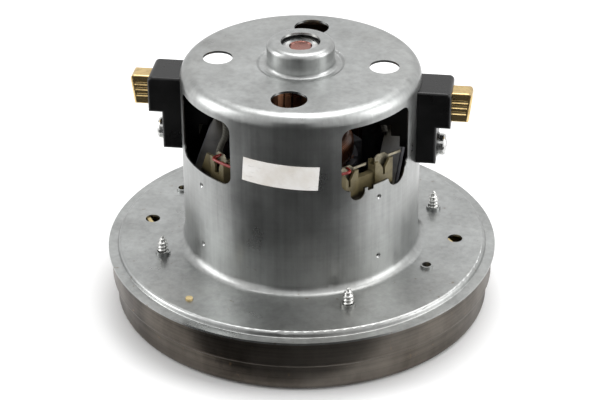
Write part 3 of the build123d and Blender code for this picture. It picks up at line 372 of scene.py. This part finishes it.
def scattered(name, original, places, seed):
    """Copies of a piece at places, each turned by chance about Z, as one plain mesh."""
    group = bpy.data.node_groups.new(name, "GeometryNodeTree")
    group.interface.new_socket("Places", in_out="INPUT", socket_type="NodeSocketGeometry")
    group.interface.new_socket("Piece", in_out="INPUT", socket_type="NodeSocketObject")
    group.interface.new_socket("Seed", in_out="INPUT", socket_type="NodeSocketInt")
    group.interface.new_socket("Finish", in_out="INPUT", socket_type="NodeSocketMaterial")
    group.interface.new_socket("Copies", in_out="OUTPUT", socket_type="NodeSocketGeometry")
    entry = group.nodes.new("NodeGroupInput")
    exit_node = group.nodes.new("NodeGroupOutput")
    source = group.nodes.new("GeometryNodeObjectInfo")
    turn = group.nodes.new("FunctionNodeRandomValue")
    upright = group.nodes.new("ShaderNodeCombineXYZ")
    spread = group.nodes.new("GeometryNodeInstanceOnPoints")
    real = group.nodes.new("GeometryNodeRealizeInstances")
    paint = group.nodes.new("GeometryNodeSetMaterial")
    turn.inputs[2].default_value = 0.0
    turn.inputs[3].default_value = 2 * math.pi
    links = group.links
    links.new(entry.outputs["Piece"], source.inputs["Object"])
    links.new(entry.outputs["Seed"], turn.inputs["Seed"])
    links.new(turn.outputs[1], upright.inputs[2])
    links.new(entry.outputs["Places"], spread.inputs["Points"])
    links.new(source.outputs["Geometry"], spread.inputs["Instance"])
    links.new(upright.outputs[0], spread.inputs["Rotation"])
    links.new(spread.outputs[0], real.inputs[0])
    links.new(real.outputs[0], paint.inputs["Geometry"])
    links.new(entry.outputs["Finish"], paint.inputs["Material"])
    links.new(paint.outputs[0], exit_node.inputs[0])
    points = bpy.data.meshes.new(name + "_places")
    points.from_pydata(places, [], [])
    holder = bpy.data.objects.new(name, points)
    bpy.context.collection.objects.link(holder)
    steps = holder.modifiers.new("copies", "NODES")
    steps.node_group = group
    sockets = {item.name: item.identifier for item in group.interface.items_tree}
    steps[sockets["Piece"]] = original
    steps[sockets["Seed"]] = seed
    steps[sockets["Finish"]] = original.data.materials[0]
    bpy.context.view_layer.update()
    graph = bpy.context.evaluated_depsgraph_get()
    mesh = bpy.data.meshes.new_from_object(holder.evaluated_get(graph), depsgraph=graph)
    piece = bpy.data.objects.new(name, mesh)
    bpy.context.collection.objects.link(piece)
    bpy.data.objects.remove(holder)
    bpy.data.objects.remove(original)
    return piece


screw_places = []
for degrees in screw_turns_deg:
    turn = math.radians(degrees)
    screw_places.append((screw_circle_radius * math.cos(turn), screw_circle_radius * math.sin(turn), 0.0))
screws = scattered("flange_screws", screw, screw_places, seed=7)
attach(screws, "stator")
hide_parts("diffuser_screws")

# Brush holders: black thermoset mouldings on both sides of the can, half glossy, with a
# cloudy skin and a little grey dust. Each is held by one screw and guides a brass tube.

moulding, tree, shader, place = start_finish("black_moulding", (0.003, 0.003, 0.003), 0.0, 0.3)
shader.inputs["Specular IOR Level"].default_value = 0.34
cloud = grain(tree, place, 90.0, 6.0)
dust = level(tree, grain(tree, place, 480.0, 5.0), 0.60, 0.76, 0.0, 0.25)
cloudy = level(tree, cloud, 0.4, 0.7, 0.0, 1.0)
black = tinted(tree, cloudy, (0.0015, 0.0015, 0.0016), (0.004, 0.004, 0.0042))
colour_from(tree, shader, tinted(tree, dust, black, (0.03, 0.028, 0.026)))
roughness_from(tree, shader, level(tree, cloud, 0.3, 0.7, 0.22, 0.40))
relief(tree, shader, grain(tree, place, 1300.0, 4.0), 0.00002, 0.5)
dress(moulding, "brush_holder_left", "brush_holder_right")

# Holder screws: zinc-plated screws with a flange and a cross recess, one in each holder's
# foot, driven level into the can. They are a little brighter than the flange screws.

dress(plated_zinc("holder_screw_zinc", (0.68, 0.68, 0.67), roughness=0.20), "holder_screws")

# Brush tubes: drawn brass, closed at the outer end and pressed into the holders. They are
# bright, with long draw lines and patches of brown tarnish.

brass, tree, shader, place = start_finish("sleeve_brass", (0.74, 0.56, 0.27), 1.0, 0.17)
draw_lines = grain(tree, stretched(tree, place, 30, 1500, 1500), 1.0, 3.0)
tarnish = level(tree, grain(tree, place, 190.0, 6.0), 0.46, 0.68, 0.0, 1.0)
gold = tinted(tree, draw_lines, (0.80, 0.61, 0.31), (0.60, 0.43, 0.18))
colour_from(tree, shader, tinted(tree, sums(tree, "MULTIPLY", tarnish, 0.6), gold, (0.22, 0.13, 0.045)))
roughness_from(tree, shader, level(tree, tarnish, 0.0, 1.0, 0.14, 0.34))
relief(tree, shader, draw_lines, 0.00003, 0.6)
dress(brass, "brush_sleeve_left", "brush_sleeve_right")

# Carbon brushes: pressed graphite blocks that slide in the brass tubes. Dark grey, faintly
# shiny where they rub, with a fine grain.

carbon, tree, shader, place = start_finish("carbon", (0.035, 0.035, 0.037), 0.0, 0.44)
shader.inputs["Specular IOR Level"].default_value = 0.7
grit = grain(tree, place, 1700.0, 4.0)
colour_from(tree, shader, tinted(tree, grit, (0.022, 0.022, 0.024), (0.07, 0.07, 0.072)))
rubbing = grain(tree, stretched(tree, place, 60, 900, 900), 1.0, 3.0)
roughness_from(tree, shader, level(tree, rubbing, 0.3, 0.7, 0.3, 0.55))
relief(tree, shader, grit, 0.00004, 0.7)
dress(carbon, "carbon_brush_left", "carbon_brush_right")

# Brush springs and shunts: hard-drawn spring wire, and a soft braided copper cord inside
# it. Both are shut in the tube; in the motor they shorten as the brush is pushed back, but here
# they are fixed copies kept with the stator. The upper bearing's preload washer is of the same spring steel.


def stripes(tree, place, direction, fineness, distortion, detail=2.0):
    """Even stripes from 0 to 1 across one direction, bent a little."""
    settings = {"bands_direction": direction}
    inputs = {"Scale": fineness, "Distortion": distortion, "Detail": detail}
    return add(tree, "TexWave", settings, Vector=place, **inputs).outputs[1]


spring_wire, tree, shader, place = start_finish("spring_wire", (0.42, 0.42, 0.43), 1.0, 0.3)
drawn = grain(tree, place, 900.0, 4.0)
colour_from(tree, shader, tinted(tree, drawn, (0.30, 0.30, 0.31), (0.52, 0.52, 0.52)))
roughness_from(tree, shader, level(tree, drawn, 0.3, 0.7, 0.24, 0.42))
dress(spring_wire, "brush_spring_left", "brush_spring_right", "preload_washer")

shunt, tree, shader, place = start_finish("shunt_copper", (0.62, 0.27, 0.13), 1.0, 0.4)
braid = stripes(tree, place, "DIAGONAL", fineness=900.0, distortion=2.0)
colour_from(tree, shader, tinted(tree, braid, (0.30, 0.11, 0.05), (0.68, 0.31, 0.16)))
relief(tree, shader, braid, 0.0001, 0.8)
dress(shunt, "brush_shunt_left", "brush_shunt_right")

for side in ("left", "right"):
    for name in ("brush_spring_", "brush_shunt_"):
        kept = nodes[name + side]
        copy = bpy.data.objects.new("seen_" + name + side, kept.data.copy())
        bpy.context.collection.objects.link(copy)
        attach(copy, "stator")
        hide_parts(name + side)
        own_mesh(copy)

# Field coils: enamelled copper wire wound flat round each pole and baked hard, painted dark
# with painted shade. The bodies show as packed turns, and the outer layer is one wire laid side by side.


def wound_copper(name, fineness, depth, painted_shade):
    """Packed copper turns along Y: enamel ridges, darker gaps, a varnish coat and a share of painted shade.
    """
    finish, tree, shader, place = start_finish(name, (0.50, 0.17, 0.06), 0.75, 0.3)
    strand = stripes(tree, place, "Y", fineness, distortion=0.3, detail=1.0)
    varnish = grain(tree, place, 150.0, 5.0)
    varnished = level(tree, varnish, 0.3, 0.7, 0.0, 1.0)
    copper = tinted(tree, varnished, (0.34, 0.125, 0.045), (0.19, 0.06, 0.022))
    copper = tinted(tree, level(tree, strand, 0.0, 0.4, 0.75, 0.0), copper, (0.04, 0.014, 0.007))
    colour_from(tree, shader, tinted(tree, painted_shade, copper, (0.012, 0.008, 0.006)))
    roughness_from(tree, shader, level(tree, varnish, 0.3, 0.7, 0.22, 0.42))
    shader.inputs["Coat Weight"].default_value = 0.5
    shader.inputs["Coat Roughness"].default_value = 0.2
    relief(tree, shader, strand, depth, 0.9)
    return finish


# The coils' share of darkening below is painted shade inside the can.
coil_copper = wound_copper("coil_copper", fineness=330.0, depth=0.0003, painted_shade=0.65)
dress(coil_copper, "field_coil_front", "field_coil_rear")
turn_copper = wound_copper("turn_copper", fineness=40.0, depth=0.00002, painted_shade=0.65)
dress(turn_copper, "field_turns_front", "field_turns_rear")

# Coil terminals: thin tinned brass blades pressed into the pockets, where the coil's ends
# and the leads are clamped. They show as a thin metal edge beside each pocket.

dress(plated_zinc("terminal_tin", (0.34, 0.31, 0.23), roughness=0.36), "coil_terminals")

# Leads: red insulated wire run round inside the can between the pockets, slightly glossy,
# and a woven sleeve, painted dark grey as painted shade inside the can and darkened further
# by grime, that covers the coil's lead up to each brush tube.

red, tree, shader, place = start_finish("red_insulation", (0.22, 0.012, 0.008), 0.0, 0.36)
scuffs = grain(tree, place, 300.0, 5.0)
red_wear = level(tree, scuffs, 0.4, 0.75, 0.0, 1.0)
colour_from(tree, shader, tinted(tree, red_wear, (0.24, 0.012, 0.008), (0.09, 0.01, 0.009)))
roughness_from(tree, shader, level(tree, scuffs, 0.3, 0.7, 0.25, 0.5))
relief(tree, shader, scuffs, 0.00003, 0.5)
dress(red, "jumper_lead_front", "jumper_lead_rear")

woven, tree, shader, place = start_finish("woven_sleeve", (0.08, 0.076, 0.06), 0.0, 0.8)
threads = stripes(tree, place, "DIAGONAL", fineness=420.0, distortion=0.6)
cross_threads = stripes(tree, place, "Z", fineness=520.0, distortion=0.6)
weave = sums(tree, "MULTIPLY", threads, cross_threads)
grime = level(tree, grain(tree, place, 200.0, 5.0), 0.45, 0.7, 0.0, 0.6)
# The thread colours are painted dark grey as painted shade inside the can; grime darkens patches further.
shaded_thread_colour = tinted(tree, weave, (0.045, 0.043, 0.033), (0.10, 0.096, 0.078))
colour_from(tree, shader, tinted(tree, grime, shaded_thread_colour, (0.03, 0.026, 0.02)))
relief(tree, shader, weave, 0.0001, 0.7)


def sleeve_lead(name, route, radius, finish, turn_half):
    """A round lead along a smooth route, as a plain mesh, with closed ends."""
    curve = bpy.data.curves.new(name, "CURVE")
    curve.dimensions = "3D"
    curve.bevel_depth = radius
    curve.bevel_resolution = 5
    curve.use_fill_caps = True
    spline = curve.splines.new("NURBS")
    spline.points.add(len(route) - 1)
    for point, spot in zip(spline.points, route):
        x, y, z = spot
        point.co = (-x, -y, z, 1.0) if turn_half else (x, y, z, 1.0)
    spline.order_u = 3
    spline.use_endpoint_u = True
    spline.resolution_u = 10
    drawn_curve = bpy.data.objects.new(name, curve)
    mesh = bpy.data.meshes.new_from_object(drawn_curve)
    bpy.data.objects.remove(drawn_curve)
    mesh.materials.clear()
    mesh.materials.append(finish)
    mesh.shade_smooth()
    piece = bpy.data.objects.new(name, mesh)
    bpy.context.collection.objects.link(piece)
    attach(piece, "stator")
    return piece


pocket_turn = math.radians(-135.0)
outward = Vector((math.cos(pocket_turn), math.sin(pocket_turn), 0))
sideways = Vector((-outward.y, outward.x, 0))
sleeve_points_mm = (
    (-9.0, 31.0, 57.2), (-6.6, 32.0, 59.5), (-4.0, 32.8, 64.0), (-2.0, 33.0, 68.6),
    (-0.2, 32.4, 72.0), (-1.4, 31.0, 74.6), (-4.0, 29.6, 76.0),
)
sleeve_radius = 0.0011
sleeve_route = []
for along, away, height in sleeve_points_mm:
    spot = outward * (away / 1000) + sideways * (along / 1000)
    sleeve_route.append((spot.x, spot.y, height / 1000))
for name, turn_half in (("sleeved_lead_front", False), ("sleeved_lead_rear", True)):
    lead = sleeve_lead(name, sleeve_route, sleeve_radius, woven, turn_half)

# Stator and armature cores: stacks of thin electrical sheet, pressed together. Their edges
# show as fine dark lines with a blue-grey oxide and a few rust specks.

stack, tree, shader, place = start_finish("lamination", (0.20, 0.20, 0.215), 0.9, 0.42)
sheets = stripes(tree, place, "Z", fineness=640.0, distortion=0.1)
oxide = grain(tree, place, 80.0, 6.0)
rust = level(tree, grain(tree, place, 420.0, 5.0), 0.62, 0.74, 0.0, 0.7)
steel = tinted(tree, level(tree, oxide, 0.3, 0.7, 0.0, 1.0), (0.25, 0.25, 0.27), (0.13, 0.13, 0.15))
steel = tinted(tree, level(tree, sheets, 0.0, 0.3, 0.6, 0.0), steel, (0.03, 0.03, 0.03))
colour_from(tree, shader, tinted(tree, rust, steel, (0.17, 0.08, 0.035)))
roughness_from(tree, shader, level(tree, oxide, 0.3, 0.7, 0.34, 0.58))
relief(tree, shader, sheets, 0.00012, 0.8)
dress(stack, "stator_core", "armature_core")

# Armature: copper wire wound in the slots and over both ends, dipped in varnish. The end
# bundles are wound by machine, so sets of wires cross them from slot to slot.

# A small share of painted shade darkens the armature's copper.
armature_copper = wound_copper("armature_copper", fineness=400.0, depth=0.0002, painted_shade=0.1)
dress(armature_copper, "armature_winding")
bundle_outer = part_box("armature_winding")[1][0]
core_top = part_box("armature_core")[1][2]
slots, slot_span = 12, 5
wires_per_set, wire_steps, wire_corners = 7, 16, 6
wire_radius, wire_spacing, wire_inset = 0.00028, 0.0009, 0.0002
wire_start, wire_rise, wire_drop = 0.001, 0.0088, 0.00004
rise_power, middle_pull = 0.35, 0.36

arc_set = bmesh.new()
half_turn = math.pi * slot_span / slots
for wire in range(wires_per_set):
    reach = bundle_outer - wire_inset - wire_spacing * wire
    low = core_top + wire_start
    high = core_top + wire_rise - wire_drop * wire * wire
    spots = []
    for step in range(wire_steps + 1):
        share = step / wire_steps
        swing = half_turn * (2 * share - 1)
        bow = math.sin(math.pi * share)
        radius = reach * (1 - middle_pull * bow)
        height = low + (high - low) * bow ** rise_power
        spots.append(Vector((radius * math.cos(swing), radius * math.sin(swing), height)))
    loops = []
    for number, spot in enumerate(spots):
        ahead = spots[min(number + 1, wire_steps)] - spots[max(number - 1, 0)]
        ahead.normalize()
        across = ahead.cross(Vector((0, 0, 1)))
        across.normalize()
        above = across.cross(ahead)
        loop = []
        for corner in range(wire_corners):
            turn = 2 * math.pi * corner / wire_corners
            offset = across * math.cos(turn) + above * math.sin(turn)
            loop.append(arc_set.verts.new(spot + wire_radius * offset))
        loops.append(loop)
    close_loops(arc_set, loops)

# A small share of painted shade darkens the end wires' copper.
end_copper = wound_copper("end_wire_copper", fineness=40.0, depth=0.00001, painted_shade=0.1)
wire_set = mesh_piece("one_wire_set", arc_set, end_copper)
ring_group = bpy.data.node_groups.new("end_wires", "GeometryNodeTree")
ring_group.interface.new_socket("Set", in_out="INPUT", socket_type="NodeSocketObject")
ring_group.interface.new_socket("Slots", in_out="INPUT", socket_type="NodeSocketInt")
ring_group.interface.new_socket("Step Angle", in_out="INPUT", socket_type="NodeSocketFloat")
ring_group.interface.new_socket("Finish", in_out="INPUT", socket_type="NodeSocketMaterial")
ring_group.interface.new_socket("Wires", in_out="OUTPUT", socket_type="NodeSocketGeometry")
entry = ring_group.nodes.new("NodeGroupInput")
line = ring_group.nodes.new("GeometryNodeMeshLine")
source = ring_group.nodes.new("GeometryNodeObjectInfo")
index = ring_group.nodes.new("GeometryNodeInputIndex")
turn = ring_group.nodes.new("ShaderNodeMath")
turn.operation = "MULTIPLY"
upright = ring_group.nodes.new("ShaderNodeCombineXYZ")
spread = ring_group.nodes.new("GeometryNodeInstanceOnPoints")
real = ring_group.nodes.new("GeometryNodeRealizeInstances")
paint = ring_group.nodes.new("GeometryNodeSetMaterial")
exit_node = ring_group.nodes.new("NodeGroupOutput")
line.inputs["Offset"].default_value = (0, 0, 0)
for start, end in (
    (entry.outputs["Slots"], line.inputs["Count"]),
    (entry.outputs["Set"], source.inputs["Object"]),
    (index.outputs[0], turn.inputs[0]),
    (entry.outputs["Step Angle"], turn.inputs[1]),
    (turn.outputs[0], upright.inputs[2]),
    (line.outputs[0], spread.inputs["Points"]),
    (source.outputs["Geometry"], spread.inputs["Instance"]),
    (upright.outputs[0], spread.inputs["Rotation"]),
    (spread.outputs[0], real.inputs[0]),
    (real.outputs[0], paint.inputs["Geometry"]),
    (entry.outputs["Finish"], paint.inputs["Material"]),
    (paint.outputs[0], exit_node.inputs[0]),
):
    ring_group.links.new(start, end)
holder = bpy.data.objects.new("end_wires_holder", bpy.data.meshes.new("end_wires_holder"))
bpy.context.collection.objects.link(holder)
steps = holder.modifiers.new("wires", "NODES")
steps.node_group = ring_group
sockets = {item.name: item.identifier for item in ring_group.interface.items_tree}
steps[sockets["Set"]] = wire_set
steps[sockets["Slots"]] = slots
steps[sockets["Step Angle"]] = 2 * math.pi / slots
steps[sockets["Finish"]] = wire_set.data.materials[0]
bpy.context.view_layer.update()
graph = bpy.context.evaluated_depsgraph_get()
end_mesh = bpy.data.meshes.new_from_object(holder.evaluated_get(graph), depsgraph=graph)
end_wires = bpy.data.objects.new("armature_end_wires", end_mesh)
bpy.context.collection.objects.link(end_wires)
bpy.data.objects.remove(holder)
bpy.data.objects.remove(wire_set)
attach(end_wires, "rotor")

# Slot wedges, end discs and commutator sleeve: brown phenolic, the colour of dark honey,
# with a coarse filler and a dull skin. They keep copper and steel apart.

resin, tree, shader, place = start_finish("insulating_resin", (0.16, 0.06, 0.025), 0.0, 0.4)
filler = grain(tree, place, 700.0, 5.0)
colour_from(tree, shader, tinted(tree, filler, (0.10, 0.035, 0.015), (0.24, 0.10, 0.04)))
roughness_from(tree, shader, level(tree, filler, 0.3, 0.7, 0.32, 0.55))
relief(tree, shader, filler, 0.00003, 0.6)
dress(resin, "slot_wedges", "armature_end_discs", "commutator_hub")

# Commutator: hard copper bars turned true after moulding, brown where the brushes run, with
# fine rings from the lathe.

track, tree, shader, place = start_finish("commutator_copper", (0.66, 0.32, 0.17), 1.0, 0.22)
_, height = radius_of(tree, place)
lathe = lines_across(tree, height, 2600.0)
from_low_edge = level(tree, height, 0.0725, 0.0745, 0.0, 1.0)
to_top_edge = level(tree, height, 0.0825, 0.0845, 1.0, 0.0)
film = sums(tree, "MULTIPLY", from_low_edge, to_top_edge)
worn = tinted(tree, lathe, (0.72, 0.37, 0.21), (0.52, 0.24, 0.12))
colour_from(tree, shader, tinted(tree, sums(tree, "MULTIPLY", film, 0.75), worn, (0.16, 0.075, 0.045)))
roughness_from(tree, shader, level(tree, film, 0.0, 1.0, 0.2, 0.34))
relief(tree, shader, lathe, 0.00004, 0.7)
dress(track, "commutator_bars")

# Shaft and bearings: ground and turned steel. The rings, balls and shields are bright, with
# fine turning rings under a thin film of grease and dust. The shaft's top end is red-brown,
# the colour that the photograph shows there.


def turned_steel(name, colour, roughness, lines):
    """Turned or ground steel with fine rings round the shaft's axis."""
    finish, tree, shader, place = start_finish(name, colour, 1.0, roughness)
    radius, height = radius_of(tree, place)
    faces = lines_across(tree, radius, lines)
    walls = lines_across(tree, height, lines)
    both = sums(tree, "MULTIPLY", sums(tree, "ADD", faces, walls), 0.5)
    grease = level(tree, grain(tree, place, 160.0, 5.0), 0.48, 0.7, 0.0, 0.5)
    base = tinted(tree, both, tuple(part * 0.8 for part in colour), colour)
    colour_from(tree, shader, tinted(tree, grease, base, (0.20, 0.17, 0.12)))
    roughness_from(tree, shader, level(tree, grease, 0.0, 0.5, roughness, roughness + 0.22))
    relief(tree, shader, both, 0.00003, 0.7)
    return finish


shaft_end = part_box("shaft")[1][2]
bearing_steel = turned_steel("bearing_steel", (0.68, 0.68, 0.68), roughness=0.16, lines=3200.0)
shield_steel = turned_steel("shield_steel", (0.52, 0.52, 0.51), roughness=0.3, lines=2400.0)
for end in ("upper_bearing_", "lower_bearing_"):
    dress(bearing_steel, end + "outer", end + "inner", end + "balls")
    dress(shield_steel, end + "shields", end + "cage")
shaft_steel = turned_steel("shaft_steel", (0.60, 0.60, 0.59), roughness=0.24, lines=2800.0)
tree = shaft_steel.node_tree
shader = tree.nodes["Principled BSDF"]
_, height = radius_of(tree, tree.nodes["Texture Coordinate"].outputs["Object"])
bare_steel = shader.inputs["Base Color"].links[0].from_socket
red_depth, red_full_depth = 0.0012, 0.0008
reddish = level(tree, height, shaft_end - red_depth, shaft_end - red_full_depth, 0.0, 0.85)
colour_from(tree, shader, tinted(tree, reddish, bare_steel, (0.26, 0.07, 0.045)))
dress(shaft_steel, "shaft")
pressed_steel = turned_steel("pressed_steel", (0.50, 0.50, 0.49), roughness=0.34, lines=1500.0)
dress(pressed_steel, "bearing_bracket", "commutator_spacer", "fan_washers", "fan_spacer")
dress(plated_zinc("nut_zinc", (0.60, 0.60, 0.58), roughness=0.26), "fan_nut")

# Fan: two spun aluminium plates with bent blades between them, held by tabs. Bright and
# soft, with spinning rings and grey dust that the air has left behind.

fan_metal = turned_steel("fan_aluminium", (0.74, 0.74, 0.74), roughness=0.3, lines=1700.0)
dress(fan_metal, "fan_back_plate", "fan_front_plate", "fan_blades")

# Studio: a wide pale floor, one large soft lamp above and behind, one on each side, and a
# bent dark card in front that gives the metal its dark front. None belongs to the part.

floor_mesh = bpy.data.meshes.new("floor")
floor_half, floor_drop = 4.0, 0.0002
floor_corners = [
    (-floor_half, -floor_half, 0), (floor_half, -floor_half, 0),
    (floor_half, floor_half, 0), (-floor_half, floor_half, 0),
]
floor_mesh.from_pydata(floor_corners, [], [(0, 1, 2, 3)])
floor = bpy.data.objects.new("floor", floor_mesh)
floor.location.z = -floor_drop
bpy.context.collection.objects.link(floor)
floor_mesh.materials.append(start_finish("floor_pale", (0.86, 0.86, 0.86), 0.0, 0.8)[0])


def soft_lamp(name, spot, target, size, power):
    """One square soft lamp aimed at a point."""
    lamp = bpy.data.lights.new(name, "AREA")
    lamp.shape = "RECTANGLE"
    lamp.size, lamp.size_y = size
    lamp.energy = power
    lamp_object = bpy.data.objects.new(name, lamp)
    lamp_object.location = spot
    lamp_object.rotation_euler = (Vector(target) - Vector(spot)).to_track_quat("-Z", "Y").to_euler()
    bpy.context.collection.objects.link(lamp_object)


aim = (0, 0, 0.05)
soft_lamp("lamp_above", spot=(0.1, 0.25, 1.1), target=aim, size=(1.0, 0.8), power=11)
soft_lamp("lamp_left", spot=(-0.95, -0.15, 0.45), target=aim, size=(0.5, 0.9), power=6)
soft_lamp("lamp_right", spot=(0.95, -0.05, 0.45), target=aim, size=(0.5, 0.9), power=6)

card_mesh = bpy.data.meshes.new("dark_card")
card_near, card_far, card_half = -0.072, -0.75, 0.30
card_low, card_top = 0.0005, 0.55
card_corners = [
    (-card_half, card_near, card_low), (card_half, card_near, card_low),
    (card_half, card_far, card_low), (-card_half, card_far, card_low),
    (card_half, card_far, card_top), (-card_half, card_far, card_top),
]
card_mesh.from_pydata(card_corners, [], [(0, 1, 2, 3), (3, 2, 4, 5)])
card = bpy.data.objects.new("dark_card", card_mesh)
card.visible_camera = False
card.visible_shadow = False
card.visible_diffuse = False
bpy.context.collection.objects.link(card)
card_mesh.materials.append(start_finish("card_black", (0.02, 0.02, 0.02), 0.0, 0.9)[0])

world = bpy.data.worlds.new("studio")
bpy.context.scene.world = world
world.use_nodes = True
tree = world.node_tree
backdrop = tree.nodes["Background"]
path = tree.nodes.new("ShaderNodeLightPath")
seen = sums(tree, "MAXIMUM", path.outputs["Is Camera Ray"], path.outputs["Is Transmission Ray"])
seen = sums(tree, "MAXIMUM", seen, path.outputs["Is Glossy Ray"])
strength_as_light, strength_seen = 0.55, 1.0
strength = level(tree, seen, 0.0, 1.0, strength_as_light, strength_seen)
tree.links.new(strength, backdrop.inputs["Strength"])
backdrop.inputs["Color"].default_value = (1.0, 1.0, 1.0, 1.0)

# Camera: the photograph's angle and distance, found by fitting the round edges of boss, can,
# flange and cover. It stands in front, a little to the right, and looks down on the part.

camera_data = bpy.data.cameras.new("camera")
camera_data.sensor_width = 36.0
camera_data.lens = 122.15
camera = bpy.data.objects.new("camera", camera_data)
bpy.context.collection.objects.link(camera)
place_of_camera = Vector((0.08815, -0.6279, 0.4018))
looked_at = Vector((-0.00051, -0.00029, 0.03611))
roll = math.radians(-0.36)
forward = (looked_at - place_of_camera).normalized()
right = forward.cross(Vector((0, 0, 1))).normalized()
above = right.cross(forward)
rolled_right = right * math.cos(roll) + above * math.sin(roll)
rolled_above = above * math.cos(roll) - right * math.sin(roll)
camera.matrix_world = Matrix((
    (rolled_right.x, rolled_above.x, -forward.x, place_of_camera.x),
    (rolled_right.y, rolled_above.y, -forward.y, place_of_camera.y),
    (rolled_right.z, rolled_above.z, -forward.z, place_of_camera.z),
    (0, 0, 0, 1),
))
bpy.context.scene.camera = camera
bpy.context.scene.view_settings.view_transform = "Standard"
